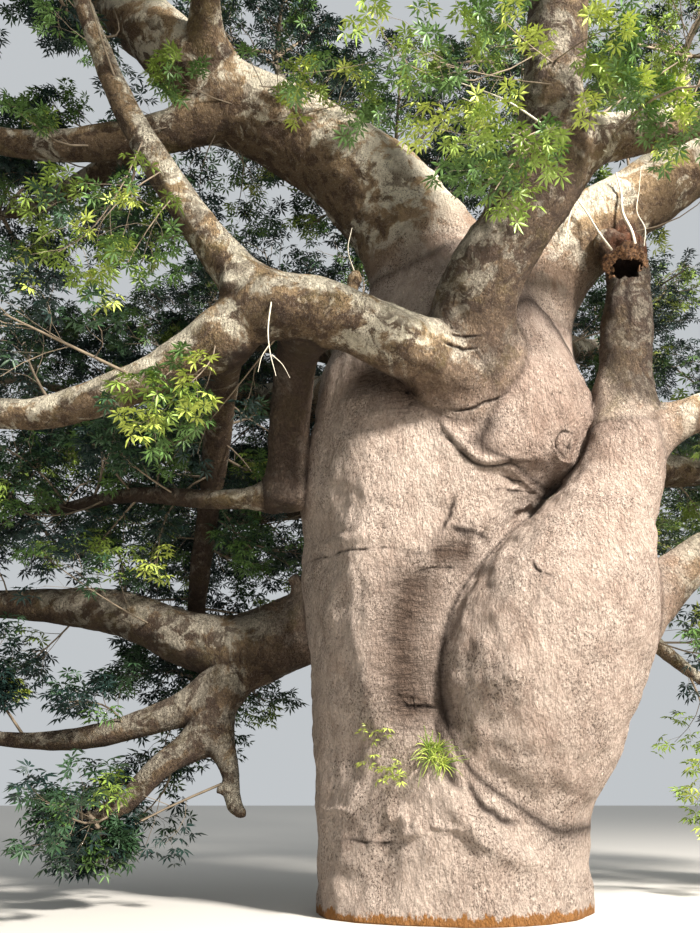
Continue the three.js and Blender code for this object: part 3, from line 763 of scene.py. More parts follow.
unsteady = np.random.default_rng(7)
skin = skin_tree(wood)
mark_lines = []
for name, pixels, half_width, height in MARKS:
    line = smooth_path(on_skin(skin, pixels))
    for axis in range(3):
        wander = unsteady.normal(size=WANDER_KNOTS) * min(0.4 * half_width, WIDEST_WANDER)
        line[:, axis] += np.interp(np.linspace(0, 1, len(line)), np.linspace(0, 1, WANDER_KNOTS), wander)
    mark_lines.append(line)
print("longest mark:", round(max(lengths_along(line)[-1] for line in mark_lines), 2), "m")

# %% Finer faces along the marks
FINE_ROUNDS = ((0.13, 2.2), (0.03, 2.0))


def refine_near_marks(widest, reach):
    make_active(wood)
    points = points_of(wood)
    wanted = np.zeros(len(points), bool)
    for line, (_, _, half_width, _) in zip(mark_lines, MARKS):
        if half_width <= widest:
            near = near_line(points, line, reach * half_width)
            gaps, _ = gaps_to_line(points[near], line[::3])
            wanted[near[gaps < reach * half_width + 0.02]] = True
    bpy.ops.object.mode_set(mode="EDIT")
    bpy.ops.mesh.select_mode(type="VERT")
    bpy.ops.mesh.select_all(action="DESELECT")
    bpy.ops.object.mode_set(mode="OBJECT")
    wood.data.vertices.foreach_set("select", wanted)
    bpy.ops.object.mode_set(mode="EDIT")
    bpy.ops.mesh.select_mode(type="FACE")
    bpy.ops.mesh.subdivide(number_cuts=1, smoothness=0.0)
    bpy.ops.object.mode_set(mode="OBJECT")


for widest, reach in FINE_ROUNDS:
    refine_near_marks(widest, reach)
print("faces after refining:", len(wood.data.polygons))

# %% Press the marks into the skin
# Grooves narrower than this get painted crease shade in the 'hollow' mask, broader ones painted broad shade.
BROADEST_HOLLOW_SHADE = 0.105
HOLE_PIXEL = (627, 266)
HOLE_INWARD = np.array((0.2, 0.9, 0.3)) / np.linalg.norm((0.2, 0.9, 0.3))
HOLE_HALF_SIZE = (0.2, 0.165)
HOLE_DEPTH = 0.3


def add_attribute(piece, name, values):
    attribute = piece.data.attributes.new(name, "FLOAT", "POINT")
    attribute.data.foreach_set("value", np.asarray(values, np.float32))


moved = points_of(wood).astype(float)
directions = normals_of(wood)
shift, hollow_shade, shaded = np.zeros((3, len(moved)))
for line, (name, pixels, half_width, height) in zip(mark_lines, MARKS):
    near = near_line(moved, line, 3 * half_width)
    gaps, along = gaps_to_line(moved[near], line)
    fade = np.clip(np.minimum(along, 1 - along) / 0.2, 0.15, 1)
    uneven = np.interp(along, np.linspace(0, 1, WANDER_KNOTS), 0.75 + 0.4 * unsteady.random(WANDER_KNOTS))
    shift[near] += np.exp(-((gaps / half_width) ** 2)) * fade * uneven * height
    # A groove is also darkened as painted shade: a narrow one into the mask stored as 'hollow', broad ones,
    # the valley by the crease, the wrinkled shade and the shade under the front left bough, into 'shaded'.
    if height < 0:
        target = hollow_shade if half_width < BROADEST_HOLLOW_SHADE else shaded
        target[near] = np.maximum(target[near], np.exp(-((gaps / (1.3 * half_width)) ** 2)) * fade)
moved += directions * shift[:, None]
hole = on_skin(skin, [HOLE_PIXEL])[0]
across = np.cross(HOLE_INWARD, (0, 0, 1.0))
across /= np.linalg.norm(across)
offset = moved - hole
wide, deep = offset @ across, offset @ HOLE_INWARD
high = offset @ np.cross(across, HOLE_INWARD)
ragged = 1 + 0.12 * np.sin(5 * np.arctan2(high, wide) + 1.0) + 0.08 * np.sin(11 * np.arctan2(high, wide))
level = np.hypot(wide / HOLE_HALF_SIZE[0], high / HOLE_HALF_SIZE[1]) / ragged
at_mouth = np.abs(deep) < HOLE_DEPTH
within = np.clip((1 - level) * 3, 0, 1) * at_mouth * (directions @ HOLE_INWARD < 0.3)
moved += within[:, None] * HOLE_DEPTH * HOLE_INWARD
# The mouth of the hole gets painted shade as well.
hollow_shade = np.maximum(hollow_shade, np.clip((1.12 - level) * 5, 0, 1) * at_mouth)
set_points(wood, moved)
add_attribute(wood, "hollow", hollow_shade)
add_attribute(wood, "shaded", shaded)
print("marks:", len(MARKS), "deepest", round(float(shift.min()), 3), "m")

# %% [markdown]
# ## A flat cut at the ground
# All the wood so far reaches a little below the ground, so that lumps and folds run straight through the cut.
# A bisect then takes the rest off and closes the cut with one level face.

# %% Cut at ground level
make_active(wood)
bpy.ops.object.mode_set(mode="EDIT")
bpy.ops.mesh.select_all(action="SELECT")
bpy.ops.mesh.bisect(plane_co=(0, 0, 0), plane_no=(0, 0, 1), use_fill=True, clear_inner=True)
bpy.ops.object.mode_set(mode="OBJECT")
print("lowest point:", round(float(points_of(wood)[:, 2].min()), 4), "m")

# %% [markdown]
# ## What the bark material reads
# The bark isn't one colour: the trunk is pale, the boughs are cream on top and brown beneath, the shaded limbs
# are darker, and every crease is darker still. Much of that is painted light and shade: the cream tops and
# brown undersides of the boughs are partly painted light and shade, the limbs in shadow are darkened both as
# weathered bark and as painted shade, and the creases get painted shade. Each of these is stored on the skin
# as a number for each point, and the shader blends its colours by them.

# %% Attributes on the skin
PALE_STEMS = [0.85, 0.7, 0.3]
# How dark each limb gets: partly weathered bark, partly painted shade on the limbs that lie in shadow.
DARK_LIMBS = {"front_bough": 0.85, "low_left_bough": 0.85, "low_left_fork": 0.9, "low_left_droop": 0.9,
              "low_left_stub": 0.9, "right_stem": 1.0, "hanging_limb": 1.0, "rear_hanging_limb": 1.0,
              "hanging_limb_arm": 1.0, "far_left_limb": 0.6, "front_left_bough": 0.5,
              "rising_left_limb": 0.6, "upper_left_bough": 0.1, "right_bough": 0.1, "front_right_limb": 0.6}
USUAL_DARKNESS = 0.65
DARKENING_STARTS = {"front_bough": 0.25, "front_left_bough": 0.25, "low_left_bough": 0.3, "right_stem": 0.4,
                     "hanging_limb": 0.2}
USUAL_START = 1.2
PALE_FOOT_TOP = 1.3
BOUGH_COLOUR_FROM = 0.7

points = points_of(wood)
bark_tree = skin_tree(wood)
nearest, runner_up, parting, _ = nearest_wood(points)
limb_names = list(LIMBS)
pale_of = np.array(PALE_STEMS + [0.0] * len(LIMBS))
dark_of = np.array([0.0] * len(STEMS) + [DARK_LIMBS.get(name, USUAL_DARKNESS) for name in limb_names])
start_of = np.array([1.0] * len(STEMS) + [DARKENING_STARTS.get(name, USUAL_START) for name in limb_names])
from_trunk = np.min([distance_to_stem(points, rows) for rows in STEMS.values()], axis=0)
blend = np.clip(0.5 - parting / 0.5, 0, 0.5)
pale = pale_of[nearest] * (1 - blend) + pale_of[runner_up] * blend
pale = np.maximum(pale, 0.9 * np.clip(1 - points[:, 2] / PALE_FOOT_TOP, 0, 1))
dark = dark_of[nearest] * np.clip(from_trunk / start_of[nearest], 0, 1)
add_attribute(wood, "pale", pale)
add_attribute(wood, "bough", np.clip(from_trunk / BOUGH_COLOUR_FROM, 0, 1) * (nearest >= len(STEMS)))
# Painted shade: the more a face looks down, the darker it is painted.
add_attribute(wood, "underside_shade", np.clip(0.2 - 1.5 * normals_of(wood)[:, 2], 0, 1))
add_attribute(wood, "weathered_and_shaded", dark)
print("attributes:", [a.name for a in wood.data.attributes if a.data_type == "FLOAT"])

# %% Painted shade in hollows and joints, the rust stain at the foot and the torn top
STAIN_TOP = 0.2
TORN_PLACE = (2.47, -1.0, 7.75)
TORN_REACH = 0.3

hollow_shade = read_array(wood.data.attributes["hollow"].data, "value")
# Painted shade in the creases between the stems and at the joints of the limbs.
joint = np.clip(1 - parting / 0.12, 0, 1) ** 2 * ((nearest < len(STEMS)) & (runner_up < len(STEMS)))
joint = np.maximum(joint, 0.5 * np.clip(1 - parting / 0.08, 0, 1))
wood.data.attributes["hollow"].data.foreach_set("value", np.maximum(hollow_shade, joint).astype(np.float32))
add_attribute(wood, "rusty", np.clip(1 - points[:, 2] / STAIN_TOP, 0, 1))
torn = np.linalg.norm(points - TORN_PLACE, axis=1) / TORN_REACH
add_attribute(wood, "torn", np.clip(1.6 - torn, 0, 1))
print("points in hollows:", int((np.maximum(hollow_shade, joint) > 0.4).sum()))

# %% [markdown]
# ## Cut the skin into pieces
# A piece past 200,000 triangles is hard to handle, so the skin is cut where one limb parts from the next: the
# main stem, the swollen stem with the shoulder, and the boughs of each side. The normals of the whole skin are
# kept on every piece, so that no seam shows where two pieces meet.

# %% Pieces of the skin
WOOD_PIECES = {
    "main_stem_bark": ["trunk"],
    "swollen_stem_bark": ["trunk"],
    "left_boughs_bark": ["upper_left_bough", "upper_riser", "far_left_limb", "high_left_rear_limb",
                         "left_overhead_limb"],
    "low_left_boughs_bark": ["low_left_bough", "low_left_fork", "low_left_droop", "low_left_stub",
                             "front_left_bough", "rising_left_limb", "hanging_limb", "hanging_limb_arm",
                             "rear_hanging_limb"],
    "right_boughs_bark": ["right_bough", "right_riser", "front_bough", "front_right_limb",
                          "front_overhead_limb", "right_stem", "right_stem_arm", "middle_bough"],
    "rear_boughs_bark": ["back_left_bough", "back_bough", "rear_left_limb", "rear_left_low_limb"],
    "rear_right_boughs_bark": ["back_right_bough", "rear_right_low_limb", "rear_right_limb", "bulge_arm",
                               "bulge_rear_arm"],
}
PIECES_OF_STEMS = [0, 1, 1]


def mesh_piece(name, points, corners, starts):
    mesh = bpy.data.meshes.new(name)
    mesh.vertices.add(len(points))
    mesh.vertices.foreach_set("co", points.astype(np.float32).ravel())
    mesh.loops.add(len(corners))
    mesh.loops.foreach_set("vertex_index", corners.astype(np.int32))
    mesh.polygons.add(len(starts))
    mesh.polygons.foreach_set("loop_start", starts.astype(np.int32))
    mesh.update(calc_edges=True)
    piece = bpy.data.objects.new(name, mesh)
    bpy.context.scene.collection.objects.link(piece)
    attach(piece, "root")
    return piece


def starts_of(sizes):
    return np.concatenate([[0], np.cumsum(sizes)[:-1]])


piece_of_node = {node: k for k, nodes in enumerate(WOOD_PIECES.values()) for node in nodes}
piece_of_part = np.array(PIECES_OF_STEMS + [piece_of_node[name] for name in limb_names])
corners = read_array(wood.data.loops, "vertex_index", kind=np.int32)
sizes = read_array(wood.data.polygons, "loop_total", kind=np.int32)
face_piece = piece_of_part[nearest[corners[starts_of(sizes)]]]
all_points, all_normals = points_of(wood), normals_of(wood)
kept_values = {a.name: read_array(a.data, "value") for a in wood.data.attributes if a.data_type == "FLOAT"}

bark_pieces = []
for number, (name, nodes) in enumerate(WOOD_PIECES.items()):
    chosen = face_piece == number
    used, local = np.unique(corners[np.repeat(chosen, sizes)], return_inverse=True)
    piece = mesh_piece(name, all_points[used], local, starts_of(sizes[chosen]))
    piece.data.polygons.foreach_set("use_smooth", np.ones(len(piece.data.polygons), bool))
    for key, values in kept_values.items():
        add_attribute(piece, key, values[used])
    piece.data.normals_split_custom_set_from_vertices(all_normals[used].tolist())
    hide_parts(*nodes)
    bark_pieces.append(piece)
    piece.data.calc_loop_triangles()
    print(name, len(piece.data.loop_triangles), "triangles")
bpy.data.objects.remove(wood)

# %% [markdown]
# ## Bark
# A baobab's bark is smooth and corky, pinkish and pale on the trunk, cream and brown on the boughs, with fine
# pits and dark freckles. It has no plates or ridges as an oak has. It could be painted on as a picture, but
# noise at a few real scales gives the same look from any distance: 1.1 m for patches, 33 cm for blotches,
# 12 cm for dapples, 6 cm for pits, 4.5 cm for blisters and 2 cm for freckles. Each coat of colour lies over
# the one before it. Some coats are painted light and shade rather than bark: painted shade in the low spots of
# the relief, in grooves, joints and hollows and under the boughs, painted highlights on the raised grain, and
# sunlit cream patches and shaded dark ones painted on the boughs.

# %% Bark material
BARK_COLOURS = {"plain": "#c0a795", "dusty": "#e2cdbc", "pale": "#efdccc", "blotch": "#937763",
                "dapple": "#846f62", "bough": "#c2a67c", "cream_and_sunlit": "#fff6dc", "lichen_and_shade": "#46361f",
                "underside_shade": "#4a3926", "crackle": "#49392e", "low spot shade": "#7b6459", "moss": "#86793f",
                "freckle": "#46372e", "raised grain highlight": "#f8ead9", "shade": "#4c3a2e", "wrinkle": "#33271f",
                "weathered_and_shaded": "#453830", "torn": "#7c5039", "hollow": "#2a1e18", "rust": "#98621f"}
RELIEF_HEIGHT = 0.09


def build_bark(name):
    material, surface = new_material(name)
    place = add_node(material, "ShaderNodeTexCoord").outputs["Object"]
    colour = {key: shade(value) for key, value in BARK_COLOURS.items()}

    def stored(key):
        return add_node(material, "ShaderNodeAttribute", attribute_name=key).outputs["Fac"]

    def noise(per_metre, detail, rough, stretch=(1, 1, 1), twist=0.0):
        mapped = add_node(material, "ShaderNodeMapping", {"Vector": place, "Scale": stretch}).outputs[0]
        sockets = {"Vector": mapped, "Scale": per_metre, "Detail": detail, "Roughness": rough,
                   "Distortion": twist}
        return add_node(material, "ShaderNodeTexNoise", sockets).outputs["Fac"]

    def span(value, low, high, to_low=0.0, to_high=1.0):
        return add_node(material, "ShaderNodeMapRange", {"Value": value, "From Min": low, "From Max": high,
                                                         "To Min": to_low, "To Max": to_high}).outputs[0]

    def mix(amount, first, second):
        sockets = {0: amount, 6: first, 7: second}
        return add_node(material, "ShaderNodeMix", sockets, data_type="RGBA").outputs[2]

    def both(first, second, step="MULTIPLY"):
        return add_node(material, "ShaderNodeMath", {0: first, 1: second}, operation=step).outputs[0]

    def total(*terms):
        result = both(*terms[0])
        for value, weight in terms[1:]:
            result = both(result, both(value, weight), "ADD")
        return result

    def thin_lines(value, width):
        return span(both(both(value, 0.5, "SUBTRACT"), 0.0, "ABSOLUTE"), 0.0, width, 1.0, 0.0)

    pale, bough, underside_shade, weathered_and_shaded = (stored(key) for key in ("pale", "bough", "underside_shade", "weathered_and_shaded"))
    hollow, shaded, rusty, torn = (stored(key) for key in ("hollow", "shaded", "rusty", "torn"))
    soft = span(both(pale, bough, "ADD"), 0.2, 1.0, 1.0, 0.45)
    patches = span(noise(0.9, 5.0, 0.62), 0.42, 0.58)
    blotches = span(noise(3.0, 8.0, 0.74, (1, 1, 0.7), 0.4), 0.46, 0.6)
    dapples = span(noise(8.0, 7.0, 0.72, (1, 1, 0.6)), 0.48, 0.6)
    # Cream patches on the boughs: partly the bark's own cream, partly painted sunlit patches, more of them on
    # the tops.
    cream_and_sunlit = span(total((noise(2.4, 8.0, 0.64, twist=0.5), 1.0), (underside_shade, -0.12)), 0.41, 0.475)
    # Dark patches on the boughs, stronger on darkened limbs and beneath: partly lichen, partly painted shade.
    lichen_and_shade = span(noise(4.6, 8.0, 0.68, twist=0.6), 0.49, 0.55)
    lichen_and_shade = both(lichen_and_shade, span(both(weathered_and_shaded, underside_shade, "ADD"), 0.35, 1, 0.2, 0.95))
    crackle = thin_lines(noise(8.0, 8.0, 0.75, twist=0.5), 0.02)
    wrinkles = both(thin_lines(noise(5.0, 5.0, 0.6, (0.6, 0.6, 5.0)), 0.03), shaded)
    moss = both(span(noise(2.1, 6.0, 0.7), 0.52, 0.62), weathered_and_shaded)
    cells = add_node(material, "ShaderNodeMapping", {"Vector": place, "Scale": (1, 1, 0.5)}).outputs[0]
    sockets = {"Vector": cells, "Scale": 22.0, "Detail": 2.0, "Roughness": 0.6, "Randomness": 1.0}
    blisters = add_node(material, "ShaderNodeTexVoronoi", sockets).outputs["Distance"]
    grain = noise(60.0, 4.0, 0.8, (1, 1, 0.75))
    lumps = noise(11.0, 6.0, 0.72, (1, 1, 0.45))
    pits = span(noise(17.0, 5.0, 0.8, (1, 1, 0.8)), 0.63, 0.67)
    crowded = span(noise(1.8, 5.0, 0.65), 0.44, 0.58, 0.25, 1.0)
    freckles = both(span(noise(48.0, 4.0, 0.8, (1, 1, 0.8)), 0.53, 0.58), crowded)
    relief = total((blisters, -0.55), (grain, 0.45), (lumps, 1.1))

    colour["bough"] = mix(cream_and_sunlit, colour["bough"], colour["cream_and_sunlit"])
    coats = [
        (pale, "pale"),
        (both(blotches, both(soft, 0.62)), "blotch"),
        (both(dapples, both(soft, 0.45)), "dapple"),
        (bough, "bough"),
        (both(lichen_and_shade, bough), "lichen_and_shade"),
        # painted shade on the undersides of the boughs, less under the cream patches
        (both(underside_shade, both(bough, span(cream_and_sunlit, 0, 1, 0.66, 0.2))), "underside_shade"),
        (both(crackle, span(weathered_and_shaded, 0, 1, 0.15, 0.8)), "crackle"),
        # painted shade in the low spots of the bark's relief
        (both(span(relief, 0.4, 0.58, 1.0, 0.0), both(soft, 0.6)), "low spot shade"),
        (both(pits, 0.85), "crackle"),
        (both(moss, 0.45), "moss"),
        (both(freckles, 0.85), "freckle"),
        # painted highlights on the raised grain
        (span(grain, 0.54, 0.7, 0.0, 0.3), "raised grain highlight"),
        (both(shaded, 0.9), "shade"),
        (both(wrinkles, 0.8), "wrinkle"),
        # weathered bark, darkened further as painted shade on the limbs in shadow
        (span(weathered_and_shaded, 0.55, 1.0, 0.0, 0.82), "weathered_and_shaded"),
        (both(torn, span(lumps, 0.4, 0.6, 1.0, 0.3)), "torn"),
        # painted shade in grooves, joints and the hole of the broken stem
        (both(hollow, 0.93), "hollow"),
        (span(total((rusty, 1.0), (lumps, 1.5)), 1.3, 1.42, 0.0, 0.9), "rust"),
    ]
    tone = mix(patches, colour["plain"], colour["dusty"])
    for amount, key in coats:
        tone = mix(amount, tone, colour[key])
    material.node_tree.links.new(tone, surface.inputs["Base Color"])
    surface.inputs["Roughness"].default_value = 0.9
    surface.inputs["Specular IOR Level"].default_value = 0.2
    cracks = both(crackle, span(weathered_and_shaded, 0, 1, -0.05, -0.3))
    height = total((relief, 1.0), (pits, -0.3), (freckles, -0.12), (wrinkles, -0.3), (cracks, 1.0))
    bump = add_node(material, "ShaderNodeBump", {"Height": height, "Strength": 1.0, "Distance": RELIEF_HEIGHT})
    material.node_tree.links.new(bump.outputs[0], surface.inputs["Normal"])
    return material


bark = build_bark("smooth corky baobab bark")
for piece in bark_pieces:
    piece.data.materials.append(bark)
print("bark material:", bark.name)

# %% [markdown]
# ## Twigs by the same rule
# The plain model grows a few twigs in each space, evenly turned by the golden angle. The same numbers, drawn
# from the same seeds, start the twigs here. Each then carries finer twigs, and those carry shoots. A particle
# system could scatter them, but arrays keep every twig fixed to what it grows from.

# %% Seeded twigs of the plain model
GOLDEN_ANGLE = math.pi * (3 - math.sqrt(5))
FEWEST_TWIGS = 2
REACH_PER_TWIG = 0.62
TURN_SCATTER = 0.6
HIGHEST_TWIG_START = 0.9
TWIG_REACH = 0.55
FIRST_SEED = 101
SEED_STEP = 17


def random_from(seed):
    state = seed
    while True:
        state = (state * 1664525 + 1013904223) % 2**32
        yield state / 2**32


def first_twigs(space, number):
    random = random_from(FIRST_SEED + SEED_STEP * number)
    count = round(FEWEST_TWIGS + space["reach"] / REACH_PER_TWIG)
    for twig in range(count):
        height = 1 - 2 * (twig + 0.5) / count
        turn = twig * GOLDEN_ANGLE + next(random) * TURN_SCATTER
        out = math.sqrt(1 - height * height)
        toward = np.array([out * math.cos(turn), out * math.sin(turn), height * MASS_HEIGHT_SHARE])
        start = space["knee"] + (space["crown"] - space["knee"]) * HIGHEST_TWIG_START * next(random)
        yield start, space["middle"] + toward * space["reach"] * TWIG_REACH


seeded = [(limb_names.index(space["limb"]), start, end)
          for number, space in enumerate(spaces) for start, end in first_twigs(space, number)]
print("first twigs:", len(seeded))

# %% [markdown]
# ## Room for a twig
# A twig may only stand in its own space and clear of all bark. The spaces are balls parted by planes, so that
# test is arithmetic. The bark is tested with a search tree for its nearest face.

# %% Tests for room
SPACE_CLEARANCE = 0.006
BARK_CLEARANCE = 0.02

space_of_limb = {limb_names.index(space["limb"]): number for number, space in enumerate(spaces)}


def in_space(limbs, points):
    number = np.array([space_of_limb[limb] for limb in limbs])
    offset = points - middles[number]
    flat = offset * [1, 1, 1 / MASS_HEIGHT_SHARE]
    inside = np.linalg.norm(flat, axis=1) <= reaches[number]
    for other in range(len(spaces)):
        apart = middles[other] - middles[number]
        distance = np.linalg.norm(apart, axis=1)
        share = reaches[number] / (reaches[number] + reaches[other])
        with np.errstate(invalid="ignore", divide="ignore"):
            side = (offset * apart).sum(axis=1) / distance
        inside &= (number == other) | (side < distance * share - SPACE_CLEARANCE)
    return inside


def clear_of_bark(points, gap=BARK_CLEARANCE):
    clear = np.ones(len(points), bool)
    for k, point in enumerate(points):
        place, normal, _, distance = bark_tree.find_nearest(Vector(point))
        clear[k] = distance > gap and (Vector(point) - place).dot(normal) > 0
    return clear


print("room tests are ready for", len(spaces), "spaces")

# %% Grow finer twigs from coarser ones
random = np.random.default_rng(20)
HIDING_REACH = 6.0
NEAR_WOOD = 1.3
LIGHT_REACH = 14.0
KEPT_BEFORE_WOOD = 0.1
MARGIN = 40
OPEN_VIEWS = {(430, -200, 760, 270): 0.3, (545, 110, 740, 320): 0.03}
OPEN_NEARER_THAN = -0.4
KEPT_BEFORE_LAMP = 0.12
LIT_WOOD = (-3.7, 2.7, 0.3)
BOW_SHARE = 0.09
TWIG_TAPER = 0.55
STEP_JITTER = 0.8
TURN_JITTER = 0.9
SPREAD_LOST_TO_TIP = 0.35
LENGTH_AT_FOOT = 1.15
LENGTH_LOST_TO_TIP = 0.5


def unit(vectors):
    return vectors / np.maximum(np.linalg.norm(vectors, axis=1), 1e-9)[:, None]


def pixels_of(points):
    lift = math.radians(CAMERA_TILT)
    offset = points - np.array(CAMERA_PLACE)
    depth = offset[:, 1] * math.cos(lift) + offset[:, 2] * math.sin(lift)
    up = offset[:, 2] * math.cos(lift) - offset[:, 1] * math.sin(lift)
    return (FRAME_SIZE[0] / 2 + FOCAL_PIXELS * offset[:, 0] / depth,
            FRAME_SIZE[1] / 2 - FOCAL_PIXELS * up / depth, depth)


def leaves_wood_bare(points):
    """Most twigs are left out that would hide or shade the wood on the side the picture shows."""
    across, down, depth = pixels_of(points)
    seen = (depth > 1) & (across > -MARGIN) & (across < FRAME_SIZE[0] + MARGIN) & (down > -MARGIN)
    chance = np.ones(len(points))
    for (low_u, low_v, high_u, high_v), kept in OPEN_VIEWS.items():
        open_view = (across > low_u) & (across < high_u) & (down > low_v) & (down < high_v)
        chance[open_view & (points[:, 1] < OPEN_NEARER_THAN)] = kept
    for k in np.nonzero(seen)[0]:
        away = (Vector(points[k]) - Vector(CAMERA_PLACE)).normalized()
        hit = bark_tree.ray_cast(Vector(points[k]), away, HIDING_REACH)[0]
        if hit is not None and hit.y < NEAR_WOOD:
            chance[k] = KEPT_BEFORE_WOOD
    for k, point in enumerate(points):
        from_lamp = (Vector(point) - Vector(LAMP_PLACE)).normalized()
        hit = bark_tree.ray_cast(Vector(point), from_lamp, LIGHT_REACH)[0]
        if hit is not None and LIT_WOOD[0] < hit.x < LIT_WOOD[1] and hit.y < LIT_WOOD[2]:
            chance[k] = min(chance[k], KEPT_BEFORE_LAMP)
    return random.random(len(points)) < chance


def uneven_sizes(count):
    return 0.75 + 0.5 * random.random(count)


def grow(parents, per_parent, shares, spread, length_share, radius_share, lift):
    """Children of every parent twig, turned round it by the golden angle."""
    count = len(parents["start"])
    index = np.repeat(np.arange(count), per_parent)
    step = np.tile(np.arange(per_parent), count)
    share = shares[0] + (shares[1] - shares[0]) * (step + random.random(len(step)) * STEP_JITTER) / per_parent
    along = unit(parents["end"] - parents["start"])[index]
    start = parents["start"][index] + (parents["end"] - parents["start"])[index] * share[:, None]
    start = start + parents["bow"][index] * (4 * share * (1 - share))[:, None]
    side = unit(np.cross(along, random.normal(size=(count, 3))[index]))
    second = np.cross(along, side)
    turn = step * GOLDEN_ANGLE + random.random(len(step)) * TURN_JITTER
    angle = spread * (1 - SPREAD_LOST_TO_TIP * share) * uneven_sizes(len(step))
    outward = np.cos(turn)[:, None] * side + np.sin(turn)[:, None] * second
    heading = np.cos(angle)[:, None] * along + np.sin(angle)[:, None] * outward
    heading = unit(heading + [0, 0, lift])
    length = parents["length"][index] * length_share * (LENGTH_AT_FOOT - LENGTH_LOST_TO_TIP * share)
    length = length * uneven_sizes(len(step))
    thick = parents["thin"][index] * radius_share
    end = start + heading * length[:, None]
    return twigs(start, end, parents["limb"][index], thick, thick * TWIG_TAPER, index)


def twigs(start, end, limb, thick, thin, spray):
    length = np.linalg.norm(end - start, axis=1)
    bow = random.normal(size=start.shape) * BOW_SHARE * length[:, None] + [0, 0, 0.02] * length[:, None]
    return dict(start=start, end=end, limb=limb, thick=thick, thin=thin, spray=spray, bow=bow, length=length)


def pick(group, chosen):
    return {key: values[chosen] for key, values in group.items()}


def join(*groups):
    return {key: np.concatenate([group[key] for group in groups]) for key in groups[0]}


limb_of_twig = np.array([limb for limb, _, _ in seeded])
start = np.array([start for _, start, _ in seeded])
end = np.array([end for _, _, end in seeded])
reach_of_twig = np.array([LIMBS[limb_names[limb]]["reach"] for limb in limb_of_twig])
far_end = end + unit(end - start) * (0.3 * reach_of_twig)[:, None]
count = len(start)
first = twigs(start, far_end, limb_of_twig, np.full(count, 0.04), np.full(count, 0.016), np.arange(count))


def with_room(group, room):
    group = pick(group, room & clear_of_bark(group["end"]))
    return pick(group, leaves_wood_bare(group["end"]))


second = grow(first, 11, (0.1, 1.0), 0.95, 0.46, 0.75, 0.12)
second = with_room(second, in_space(second["limb"], second["end"]))
third = grow(second, 6, (0.2, 1.0), 0.85, 0.5, 0.6, 0.08)
third = with_room(third, in_space(third["limb"], third["end"]))
print("twigs:", count, len(second["start"]), len(third["start"]))

# %% [markdown]
# ## Leafy side branches
# Between the leafy tips the real boughs also carry thin side branches, close together on the rear limbs and
# few on the bare front ones. They follow the same rule: a turn by the golden angle, a lean towards the light,
# finer twigs, and shoots. Each limb has its own count for each metre of its outer part.

# %% Side branches along the limbs
SIDE_BRANCHES = {"upper_left_bough": 1.6, "right_bough": 1.6, "front_bough": 0.8, "front_left_bough": 0.7,
                 "low_left_bough": 1.2, "right_stem": 0.0, "hanging_limb": 0.6, "rising_left_limb": 1.2,
                 "low_left_stub": 1.6, "low_left_droop": 2.4, "low_left_fork": 1.6, "front_right_limb": 1.8,
                 "bulge_arm": 1.4, "far_left_limb": 2.0, "hanging_limb_arm": 4.5, "rear_hanging_limb": 6.0,
                 "high_left_rear_limb": 4.2, "rear_left_limb": 6.6, "rear_left_low_limb": 8.0,
                 "back_left_bough": 4.5}
USUAL_BRANCHES = 2.8
BRANCH_LENGTH = (0.8, 1.7)
BRANCH_RADIUS = 0.013
BRANCH_RADIUS_RANGE = 0.01
BARE_SHARE = 0.3
LEAN_ALONG_LIMB = 0.7
LEAN_TO_LIGHT = 0.35
ROOT_IN_BARK = 0.6
BOX_CLEARANCE = 0.05
LOWEST_LEAF = 0.3


def side_branches():
    start, end, owner, thick = [], [], [], []
    for limb, name in enumerate(limb_names):
        points, radii = limb_lines[name]
        along = lengths_along(points)
        tip_at = LIMBS[name]["length"]
        count = int(SIDE_BRANCHES.get(name, USUAL_BRANCHES) * tip_at * (1 - BARE_SHARE))
        for k in range(count):
            at = tip_at * (BARE_SHARE + (1 - BARE_SHARE) * (k + random.random()) / count)
            here = np.array([np.interp(at, along, points[:, axis]) for axis in range(3)])
            there = np.array([np.interp(at + 0.1, along, points[:, axis]) for axis in range(3)])
            heading = (there - here) / np.linalg.norm(there - here)
            across = np.cross(heading, (0, 0, 1))
            across /= np.linalg.norm(across)
            turn = k * GOLDEN_ANGLE + random.random()
            outward = math.cos(turn) * across + math.sin(turn) * np.cross(heading, across)
            lean = heading * LEAN_ALONG_LIMB + outward + [0, 0, LEAN_TO_LIGHT]
            lean /= np.linalg.norm(lean)
            length = BRANCH_LENGTH[0] + (BRANCH_LENGTH[1] - BRANCH_LENGTH[0]) * random.random()
            radius = np.interp(at, along, radii)
            start.append(here + outward * radius * ROOT_IN_BARK)
            end.append(here + outward * radius + lean * length)
            owner.append(limb)
            thick.append(BRANCH_RADIUS + BRANCH_RADIUS_RANGE * random.random())
    thick = np.array(thick)
    return twigs(np.array(start), np.array(end), np.array(owner), thick, thick * 0.4, np.arange(len(start)))


def in_box(points):
    low, high = np.array(cad_box)
    inside = (points > low + BOX_CLEARANCE) & (points < high - BOX_CLEARANCE)
    return np.all(inside, axis=1) & (points[:, 2] > LOWEST_LEAF)


branches = side_branches()
branches = pick(branches, in_box(branches["end"]) & clear_of_bark(branches["end"], 0.15))
side_twigs = grow(branches, 8, (0.2, 1.0), 0.85, 0.42, 0.8, 0.1)
side_twigs = with_room(side_twigs, in_box(side_twigs["end"]))
side_shoots = grow(side_twigs, 3, (0.3, 1.0), 0.8, 0.6, 0.65, 0.08)
side_shoots = with_room(side_shoots, in_box(side_shoots["end"]))
print("side branches:", len(branches["start"]), "with", len(side_shoots["start"]), "shoots")

# %% Only branches that still carry leaves
def that_still_carry(group, children, fewest=1):
    return pick(group, np.bincount(children["spray"], minlength=len(group["start"])) >= fewest)


branches = that_still_carry(branches, side_twigs, 2)
side_twigs = that_still_carry(side_twigs, side_shoots)
second = that_still_carry(second, third)
print("branches left:", len(branches["start"]))

